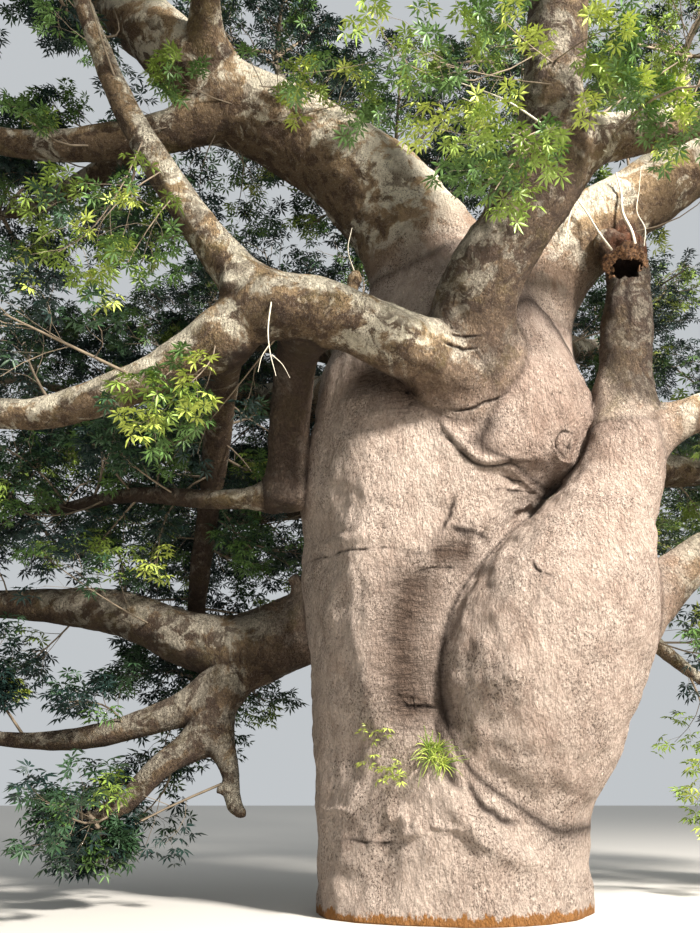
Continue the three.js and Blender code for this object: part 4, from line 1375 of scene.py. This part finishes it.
# %% [markdown]
# ## Sprays in front of the boughs
# A few bright sprays hang before the big boughs and give the crown its depth, and dull ones behind the upper
# left bough close the gap under it. Each was read off as a line in the picture, from the bark that carries it
# to its end. A ray finds the bark, and the spray reaches from there a little towards the camera, or behind the
# bough where the number is negative.

# %% Sprays: first and last point in pixels, and how much nearer the end is, in metres
SPRAYS = [
    ((545, 150), (495, 190), 0.5), ((548, 112), (470, 125), 0.6), ((550, 84), (440, 62), 0.7),
    ((552, 45), (385, 38), 0.8), ((552, 62), (500, 18), 0.5), ((548, 132), (515, 150), 0.4),
    ((556, 60), (610, 30), 0.5), ((640, 128), (692, 138), 0.4),
    ((575, 112), (622, 82), 0.4), ((620, 134), (664, 92), 0.4),
    ((160, 172), (95, 232), 0.3), ((176, 194), (128, 262), 0.3), ((172, 370), (148, 424), 0.3),
    ((215, 346), (172, 398), 0.2), ((300, 140), (292, 84), 0.4), ((232, 104), (180, 72), 0.4),
    ((262, 122), (335, 104), 0.4), ((142, 142), (58, 252), 0.4), ((90, 380), (60, 330), 0.3),
    ((240, 150), (236, 215), -1.3), ((288, 190), (270, 252), -1.3), ((215, 135), (200, 200), -1.1),
    ((318, 228), (308, 285), -1.2), ((265, 170), (300, 235), -1.5), ((225, 140), (262, 190), -1.4),
    ((180, 118), (165, 185), -1.2), ((330, 245), (345, 300), -1.1), ((300, 205), (255, 275), -1.6),
]


def at_depth(pixel, y):
    ray = ray_through(*pixel)
    return np.array(Vector(CAMERA_PLACE) + ray * ((y - CAMERA_PLACE[1]) / ray.y))


def aimed_sprays():
    start, end, behind = [], [], []
    for first_pixel, last_pixel, nearer in SPRAYS:
        hit = on_skin(bark_tree, [first_pixel])
        if len(hit):
            start.append(hit[0])
            end.append(at_depth(last_pixel, hit[0][1] - nearer))
            behind.append(nearer < 0)
    start, end = np.array(start), np.array(end)
    owner = np.maximum(nearest_wood(start)[0] - len(STEMS), 0)
    count = len(start)
    group = twigs(start, end, owner, np.full(count, 0.01), np.full(count, 0.005), np.arange(count))
    return group, np.array(behind)


sprays, sprays_behind = aimed_sprays()
spray_twigs = grow(sprays, 7, (0.2, 1.0), 0.9, 0.5, 0.7, 0.02)
spray_shoots = grow(spray_twigs, 2, (0.4, 1.0), 0.8, 0.6, 0.65, -0.02)
branches, side_twigs = join(branches, sprays), join(side_twigs, spray_twigs)
bright_from = int(side_shoots["spray"].max()) + 1
spray_shoots["spray"] = spray_shoots["spray"] + bright_from
side_shoots = join(side_shoots, spray_shoots)
second = join(second, side_twigs)
print("sprays:", len(sprays["start"]), "with", len(spray_shoots["start"]), "shoots")

# %% [markdown]
# ## Leaves
# The leaf is shaped like a hand: five to seven narrow leaflets, mostly 9 to 15 cm long, spread from the end of
# one stalk. Each leaflet is a kite of two faces folded along its midrib, which is enough to catch the light.
# Four patterns of leaf, turned and sized one by one, keep the sprays from looking stamped.

# %% Leaf patterns
LEAFLET_LENGTH = 0.128
LEAFLET_WIDTH = 0.029
LEAFLET_COUNTS = (5, 6, 6, 7)
FAN = math.radians(118)
DROOP = 0.3
KEEL = 0.22


def leaf_pattern(leaflets):
    corners, faces = [], []
    for k in range(leaflets):
        turn = FAN * (2 * k / (leaflets - 1) - 1) + random.normal() * 0.06
        length = LEAFLET_LENGTH * (1 - 0.3 * abs(turn) / FAN) * (0.92 + 0.16 * random.random())
        forward = np.array([math.cos(turn), math.sin(turn), 0])
        across = np.array([-math.sin(turn), math.cos(turn), 0]) * LEAFLET_WIDTH / 2
        droop = DROOP * (0.7 + 0.6 * random.random()) * length
        wide = forward * length * 0.52 + [0, 0, -droop * 0.3 + KEEL * LEAFLET_WIDTH]
        base = len(corners)
        corners += [forward * 0.006, wide + across, forward * length + [0, 0, -droop], wide - across]
        faces += [[base, base + 2, base + 1], [base, base + 3, base + 2]]
    return np.array(corners), np.array(faces)


patterns = [leaf_pattern(leaflets) for leaflets in LEAFLET_COUNTS]
print("faces of a leaf:", [len(faces) for _, faces in patterns])

# %% Place the leaves
LEAVES_PER_SHOOT = 6
FIRST_LEAF_AT = 0.3
STALK = 0.085
STALK_WIDTH = 0.004
STALK_RISE = 0.15
SMALLEST_LEAF = 0.82
LEAF_SIZE_RANGE = 0.4
LEAF_TILT = 0.38
LEAF_TILT_OUT = 0.25
LEAF_MIDDLE = 0.06


def leaves_on(shoots, per_shoot):
    count = len(shoots["start"])
    index = np.repeat(np.arange(count), per_shoot)
    step = np.tile(np.arange(per_shoot), count)
    share = FIRST_LEAF_AT + (1 - FIRST_LEAF_AT) * (step + 1) / per_shoot
    along = unit(shoots["end"] - shoots["start"])[index]
    start = shoots["start"][index] + (shoots["end"] - shoots["start"])[index] * share[:, None]
    start = start + shoots["bow"][index] * (4 * share * (1 - share))[:, None]
    side = unit(np.cross(along, random.normal(size=(count, 3))[index]))
    turn = step * GOLDEN_ANGLE + random.random(len(step)) * 0.7
    outward = np.cos(turn)[:, None] * side + np.sin(turn)[:, None] * np.cross(along, side)
    lean = 0.5 + 0.7 * (1 - share) + 0.3 * random.random(len(step))
    stalk = unit(np.cos(lean)[:, None] * along + np.sin(lean)[:, None] * outward + [0, 0, STALK_RISE])
    size = SMALLEST_LEAF + LEAF_SIZE_RANGE * random.random(len(step))
    base = start + stalk * (STALK * size)[:, None]
    up = unit(random.normal(size=base.shape) * LEAF_TILT + [0, 0, 1.0] + outward * LEAF_TILT_OUT)
    forward = unit(stalk - up * (stalk * up).sum(axis=1)[:, None])
    return dict(root=start, base=base, forward=forward, up=up, size=size, limb=shoots["limb"][index],
                spray=shoots["spray"][index], centre=base + forward * LEAF_MIDDLE)


leaves = leaves_on(third, LEAVES_PER_SHOOT)
leaves = pick(leaves, in_space(leaves["limb"], leaves["centre"]))
side_from = int(third["spray"].max()) + 1
bright_from += side_from
side_shoots["spray"] = side_shoots["spray"] + side_from
side_leaves = leaves_on(side_shoots, LEAVES_PER_SHOOT)
leaves = join(leaves, pick(side_leaves, in_box(side_leaves["centre"])))
leaves = pick(leaves, clear_of_bark(leaves["centre"], 0.06))
print("leaves:", len(leaves["base"]))

# %% Meshes from arrays
def mesh_from(name, corners, faces, slots, materials):
    piece = mesh_piece(name, corners, faces.ravel(), np.arange(0, faces.size, faces.shape[1]))
    for material in materials:
        piece.data.materials.append(material)
    piece.data.polygons.foreach_set("material_index", np.asarray(slots, np.int32))
    piece.data.validate()
    return piece


def leaf_arrays(chosen, tint):
    corners, faces, slots, base = [], [], [], 0
    which = (np.arange(len(chosen["base"])) * 7) % len(patterns)
    for k, (pattern, pattern_faces) in enumerate(patterns):
        rows = pick(chosen, which == k)
        count = len(rows["base"])
        if not count:
            continue
        side = np.cross(rows["up"], rows["forward"])
        frames = np.stack([rows["forward"], side, rows["up"]], axis=1)
        blade = rows["base"][:, None] + np.einsum("vk,nkx->nvx", pattern, frames) * rows["size"][:, None, None]
        half = side * STALK_WIDTH / 2
        stalk = np.stack([rows["root"] + half, rows["root"] - half, rows["base"]], axis=1)
        every = np.concatenate([blade, stalk], axis=1)
        size = len(pattern)
        local = np.vstack([pattern_faces, [[size, size + 1, size + 2]]])
        corners.append(every.reshape(-1, 3))
        faces.append((local[None] + (base + np.arange(count) * (size + 3))[:, None, None]).reshape(-1, 3))
        slots.append(np.repeat(tint[rows["spray"]], len(local)))
        base += count * (size + 3)
    return np.vstack(corners), np.vstack(faces), np.concatenate(slots)


def tube_faces(sides, stations):
    low = np.arange(sides)
    high = (low + 1) % sides
    one = np.vstack([np.stack([low, high, high + sides], 1), np.stack([low, high + sides, low + sides], 1)])
    return np.vstack([one + k * sides for k in range(stations - 1)])


def twig_arrays(group, sides, stations, base):
    share = np.linspace(0, 1, stations)
    along = unit(group["end"] - group["start"])
    across = unit(np.cross(along, [0.03, 0.02, 1.0]))
    second = np.cross(along, across)
    centre = group["start"][:, None] + (group["end"] - group["start"])[:, None] * share[None, :, None]
    centre = centre + group["bow"][:, None] * (4 * share * (1 - share))[None, :, None]
    radius = group["thick"][:, None] + (group["thin"] - group["thick"])[:, None] * share[None]
    angle = np.arange(sides) / sides * 2 * math.pi
    ring = np.cos(angle)[:, None] * across[:, None] + np.sin(angle)[:, None] * second[:, None]
    every = centre[:, :, None] + radius[:, :, None, None] * ring[:, None]
    bases = base + np.arange(len(along)) * sides * stations
    faces = tube_faces(sides, stations)[None] + bases[:, None, None]
    return every.reshape(-1, 3), faces.reshape(-1, 3)


print("array builders are ready")

# %% [markdown]
# ## Leaf and twig finishes
# Young leaves are yellow-green and older ones deep green. The leaves are opaque and satin, so a handful of
# plain tints, one for each spray, does more than any pattern would at this size. The tints also carry painted
# light: sprays before the boughs get the vivid tints as painted sunlight, and those in the shaded parts of the
# crown get the dull, dark ones as painted shade. Twigs, torn wood and dead wood are all mottled in two browns
# or greys, so one function makes all three.

# %% Leaf tints and twig bark
# The darker tints serve as painted shade and the yellow-green partly as painted sunlight, besides leaf age.
LEAF_TINTS = {"young sunlit yellow-green leaf": "#a5b253", "bright green leaf": "#7b913f", "green leaf": "#506d37",
              "deep green leaf": "#314a30", "shaded blue-green leaf": "#1d302b"}


def leaf_material(name, colour):
    material, surface = new_material(name)
    surface.inputs["Base Color"].default_value = shade(colour)
    surface.inputs["Roughness"].default_value = 0.45
    surface.inputs["Specular IOR Level"].default_value = 0.35
    return material


def mottled_material(name, dark, light, per_metre, edges=(0.0, 1.0), detail=2.0, rough=0.5, roughness=0.85):
    material, surface = new_material(name)
    place = add_node(material, "ShaderNodeTexCoord").outputs["Object"]
    mottle = add_node(material, "ShaderNodeTexNoise", {"Vector": place, "Scale": per_metre, "Detail": detail,
                                                       "Roughness": rough}).outputs["Fac"]
    mottle = add_node(material, "ShaderNodeMapRange", {"Value": mottle, "From Min": edges[0],
                                                       "From Max": edges[1]}).outputs[0]
    colour = add_node(material, "ShaderNodeMix", {0: mottle, 6: shade(dark), 7: shade(light)},
                      data_type="RGBA").outputs[2]
    material.node_tree.links.new(colour, surface.inputs["Base Color"])
    surface.inputs["Roughness"].default_value = roughness
    return material


leaf_finishes = [leaf_material(name, colour) for name, colour in LEAF_TINTS.items()]
twig_finish = mottled_material("thin grey twig bark", "#54483b", "#8f806b", 14.0)
print("leaf tints:", len(leaf_finishes))

# %% Foliage pieces
ZONES = {
    "front": ["front_bough", "front_overhead_limb", "left_overhead_limb", "front_right_limb"],
    "left_front": ["front_left_bough", "rising_left_limb", "far_left_limb", "hanging_limb_arm",
                   "hanging_limb"],
    "left_low": ["low_left_bough", "low_left_fork", "low_left_droop", "rear_hanging_limb", "low_left_stub",
                 "rear_left_low_limb"],
    "left_high": ["upper_left_bough", "upper_riser", "high_left_rear_limb", "rear_left_limb"],
    "back": ["back_left_bough", "back_bough", "back_right_bough"],
    "right_high": ["right_bough", "right_riser", "middle_bough"],
    "right_low": ["bulge_arm", "bulge_rear_arm", "right_stem_arm", "rear_right_limb", "rear_right_low_limb"],
}
# Zones whose leaves get the dull, dark tints as painted shade.
SHADED_ZONES = ("back", "left_low", "left_high", "left_front")
TINT_SHARES = ([0.1, 0.22, 0.3, 0.24, 0.14], [0.01, 0.04, 0.13, 0.34, 0.48], [0.28, 0.42, 0.25, 0.05, 0.0])
TWIG_LEVELS = ((first, 5, 7), (branches, 4, 6), (second, 3, 4), (join(third, side_shoots), 3, 3))
spray_count = int(leaves["spray"].max()) + 1
bright, dull, vivid = (random.choice(len(LEAF_TINTS), spray_count, p=shares) for shares in TINT_SHARES)
# Sprays before the boughs get the vivid tints as painted sunlight.
in_front = bright_from + np.nonzero(~sprays_behind[spray_twigs["spray"]])[0]
in_front = in_front[in_front < spray_count]
bright[in_front] = dull[in_front] = vivid[in_front]
for zone, limbs in ZONES.items():
    numbers = [limb_names.index(name) for name in limbs]
    tint = dull if zone in SHADED_ZONES else bright
    nodes = [name + "_foliage" for name in limbs if "reach" in LIMBS[name]]
    chosen = pick(leaves, np.isin(leaves["limb"], numbers))
    corners, faces, slots = leaf_arrays(chosen, tint)
    piece = mesh_from(zone + "_leaves", corners, faces, slots, leaf_finishes)
    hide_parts(*nodes)
    corners, faces, base = [], [], 0
    for group, sides, stations in TWIG_LEVELS:
        part = pick(group, np.isin(group["limb"], numbers))
        part_corners, part_faces = twig_arrays(part, sides, stations, base)
        corners.append(part_corners)
        faces.append(part_faces)
        base += len(part_corners)
    corners, faces = np.vstack(corners), np.vstack(faces)
    piece = mesh_from(zone + "_twigs", corners, faces, np.zeros(len(faces)), [twig_finish])
    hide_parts(*nodes)
    print(zone, "leaf faces", len(slots), "twig faces", len(faces))

# %% [markdown]
# ## The broken stem
# The right-hand stem ends in a hollow, torn top. The hole is already pressed into the skin. Its ragged rim
# could be sculpted, but a torus that is thick above and thin below, roughened by two displace modifiers, gives
# the same torn edge. Shards of red-brown wood stand along its upper arc: tapered tubes, all different.

# %% Torn rim
RIM_SIDES = 12
RIM_SEGMENTS = 48
RIM_THICKNESS = 0.04
RIM_GAP = 0.02
FIBRES = ((0.12, 0.12), (0.035, 0.06))

deselect_all()
bpy.ops.mesh.primitive_torus_add(major_segments=RIM_SEGMENTS, minor_segments=RIM_SIDES, major_radius=1,
                                 minor_radius=RIM_THICKNESS)
torn_rim = bpy.context.object
torn_rim.name = "torn_rim"
ring = points_of(torn_rim).astype(float)
turn = np.arctan2(ring[:, 1], ring[:, 0])
upper = np.clip(0.2 + np.sin(turn), 0, 1)[:, None]
bulk = 0.2 + upper * (1.5 + 0.4 * np.sin(5 * turn[:, None] + 0.6))
middle_line = np.stack([np.cos(turn), np.sin(turn), 0 * turn], axis=1)
tube = (ring - middle_line) * bulk
wide = middle_line[:, :1] * (HOLE_HALF_SIZE[0] + RIM_GAP) + tube[:, :1]
high = middle_line[:, 1:2] * (HOLE_HALF_SIZE[1] + RIM_GAP) + tube[:, 1:2] * 1.3
up_slope = np.cross(np.cross(HOLE_INWARD, (0, 0, 1.0)), HOLE_INWARD)
up_slope /= np.linalg.norm(up_slope)
sideways = np.cross(HOLE_INWARD, up_slope)
wide = wide * (1 + 0.12 * upper)
wrap = 0.9 * wide**2 + 0.06 * (1 - upper)
set_points(torn_rim, hole + wide * sideways + high * up_slope + (wrap - tube[:, 2:] - 0.01) * HOLE_INWARD)
make_active(torn_rim)
bpy.ops.object.transform_apply(location=True, rotation=True, scale=True)
finish_modifier(torn_rim, "SUBSURF", levels=2, render_levels=2)
for size, height in FIBRES:
    clouds = bpy.data.textures.new("torn fibres", "CLOUDS")
    clouds.noise_scale = size
    finish_modifier(torn_rim, "DISPLACE", texture=clouds, texture_coords="LOCAL", strength=height,
                    mid_level=0.5)
bpy.ops.object.mode_set(mode="EDIT")
bpy.ops.mesh.select_all(action="SELECT")
bpy.ops.mesh.normals_make_consistent(inside=False)
bpy.ops.object.mode_set(mode="OBJECT")
bpy.ops.object.shade_smooth()
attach(torn_rim, "root")
print("torn rim:", len(torn_rim.data.polygons), "faces")

# %% Shards of torn wood
SHARDS = 22
SHARD_LENGTH = (0.04, 0.11)
SHARD_ROOT = 0.02
RIM_RADIUS = 0.15

stem_points, _ = limb_lines["right_stem"]
rise = unit(stem_points[-1:] - stem_points[-4:-3])[0]
mouth = -HOLE_INWARD
across = unit(np.cross(mouth, rise)[None])[0]
upward = np.cross(across, mouth)
angle = (np.arange(SHARDS) + random.random(SHARDS)) / SHARDS * 1.2 * math.pi - 0.1 * math.pi
out = np.cos(angle)[:, None] * across + np.sin(angle)[:, None] * upward
rim = hole + mouth * SHARD_ROOT + out * (RIM_RADIUS * (0.75 + 0.35 * random.random(SHARDS)))[:, None]
rim_hits = [bark_tree.find_nearest(Vector(point))[0] for point in rim]
shard_start = np.array([tuple(hit) for hit in rim_hits]) - mouth * SHARD_ROOT
lengths = SHARD_LENGTH[0] + (SHARD_LENGTH[1] - SHARD_LENGTH[0]) * random.random(SHARDS) ** 2
lean = unit(rise * 0.9 + out * 0.5 + mouth * 0.35 + random.normal(size=(SHARDS, 3)) * 0.35)
shards = twigs(shard_start, shard_start + lean * lengths[:, None], np.zeros(SHARDS, int),
               0.01 + 0.014 * random.random(SHARDS), np.full(SHARDS, 0.003), np.arange(SHARDS))
torn_wood = mottled_material("torn red-brown wood", "#2a1710", "#8d6a4b", 26.0, (0.4, 0.62), 8.0, 0.75, 0.9)
corners, faces = twig_arrays(shards, 4, 5, 0)
mesh_from("torn_stem_shards", corners, faces, np.zeros(len(faces)), [torn_wood])
torn_rim.data.materials.append(torn_wood)
print("shards:", SHARDS)

# %% [markdown]
# ## Sprouts on the trunk
# A tuft of narrow, arching blades grows from the crease, and a few small leafy sprouts stand on the bark near
# it. A blade is a thin tube of three sides from the same builder as the twigs.

# %% Tuft and sprouts
TUFT_PIXELS = [(428, 748), (436, 752), (430, 760), (441, 766)]
BLADES = 26
BLADE_LENGTH = (0.12, 0.3)
SPROUT_PIXELS = [(366, 748), (388, 778), (372, 742), (394, 786)]
SPROUT_LENGTH = 0.16
SPROUT_LEAF_SIZE = 0.6

tuft_roots = np.repeat(on_skin(bark_tree, TUFT_PIXELS), BLADES, axis=0)
count = len(tuft_roots)
spread = random.normal(size=(count, 3)) * [0.7, 0.3, 0.75] + [0.1, -0.75, -0.05]
lengths = BLADE_LENGTH[0] + (BLADE_LENGTH[1] - BLADE_LENGTH[0]) * random.random(count)
blades = twigs(tuft_roots, tuft_roots + unit(spread) * lengths[:, None],
               np.zeros(count, int), np.full(count, 0.008), np.full(count, 0.002), np.arange(count))
blades["bow"] = blades["length"][:, None] * (random.normal(size=(count, 3)) * 0.08 + [0, 0, 0.16])
corners, faces = twig_arrays(blades, 3, 4, 0)
tint = np.repeat(random.choice(2, count, p=[0.65, 0.35]), len(faces) // count)
mesh_from("trunk_tuft", corners, faces, tint, leaf_finishes)
sprout_roots = np.repeat(on_skin(bark_tree, SPROUT_PIXELS), 2, axis=0)
count = len(sprout_roots)
lean = unit(random.normal(size=(count, 3)) * 0.5 + [0, -0.8, 0.5])
sprouts = twigs(sprout_roots, sprout_roots + lean * SPROUT_LENGTH, np.zeros(count, int), np.full(count, 0.005),
                np.full(count, 0.003), np.arange(count))
sprout_leaves = leaves_on(sprouts, 4)
sprout_leaves["size"] = sprout_leaves["size"] * SPROUT_LEAF_SIZE
corners, faces, slots = leaf_arrays(sprout_leaves, np.zeros(count, int))
mesh_from("trunk_sprout_leaves", corners, faces, slots, leaf_finishes)
print("blades and sprouts:", len(blades["start"]), count)

# %% [markdown]
# ## Bare twigs
# Dead twigs, pale and without leaves, hang from the elbow of the left bough and stand on the broken stem. Each
# is a smooth line through a few points of the picture at the depth of what carries it.

# %% Dead twigs: points in pixels, depth, radius at the root
DEAD_TWIGS = [
    ([(272, 296), (268, 330), (270, 352), (276, 376)], -2.2, 0.010),
    ([(269, 345), (262, 356), (258, 372)], -2.2, 0.006), ([(272, 355), (282, 364), (290, 378)], -2.2, 0.006),
    ([(636, 250), (632, 232), (623, 213), (621, 192), (616, 173)], -1.05, 0.026),
    ([(612, 250), (600, 234), (587, 213), (575, 196), (560, 172), (541, 160)], -1.1, 0.015),
    ([(562, 174), (557, 156), (556, 138)], -1.1, 0.008), ([(575, 197), (569, 220), (565, 240)], -1.05, 0.011),
    ([(644, 246), (645, 228), (637, 212), (639, 190), (641, 168)], -1.1, 0.009),
    ([(566, 130), (573, 134), (590, 143), (607, 152)], -2.6, 0.016),
    ([(548, 128), (505, 100), (452, 80)], -3.0, 0.013), ([(505, 100), (480, 104), (462, 98)], -3.0, 0.007),
    ([(356, 276), (348, 250), (352, 228)], -1.75, 0.009),
]
DEAD_TWIG_SIDES = 5
DEAD_TWIG_TAPER = 0.4


def dead_twig_arrays():
    corners, faces, base = [], [], 0
    for pixels, depth, radius in DEAD_TWIGS:
        line = smooth_path([at_depth(pixel, depth) for pixel in pixels])[::8]
        rings = rings_along(line, np.linspace(radius, radius * DEAD_TWIG_TAPER, len(line)), DEAD_TWIG_SIDES)
        faces.append(base + tube_faces(DEAD_TWIG_SIDES, len(line)))
        corners.append(rings.reshape(-1, 3))
        base += len(line) * DEAD_TWIG_SIDES
    return np.vstack(corners), np.vstack(faces)


dead_wood = mottled_material("bleached dead twig", "#a39a86", "#e4dcc8", 40.0, roughness=0.8)
corners, faces = dead_twig_arrays()
mesh_from("dead_twigs", corners, faces, np.zeros(len(faces)), [dead_wood])
print("dead twigs:", len(DEAD_TWIGS))

# %% [markdown]
# ## The plain model's box
# The dressed tree must keep to the plain model's box, which is printed.

# %% Print the plain model's box
print("cad", cad_box)
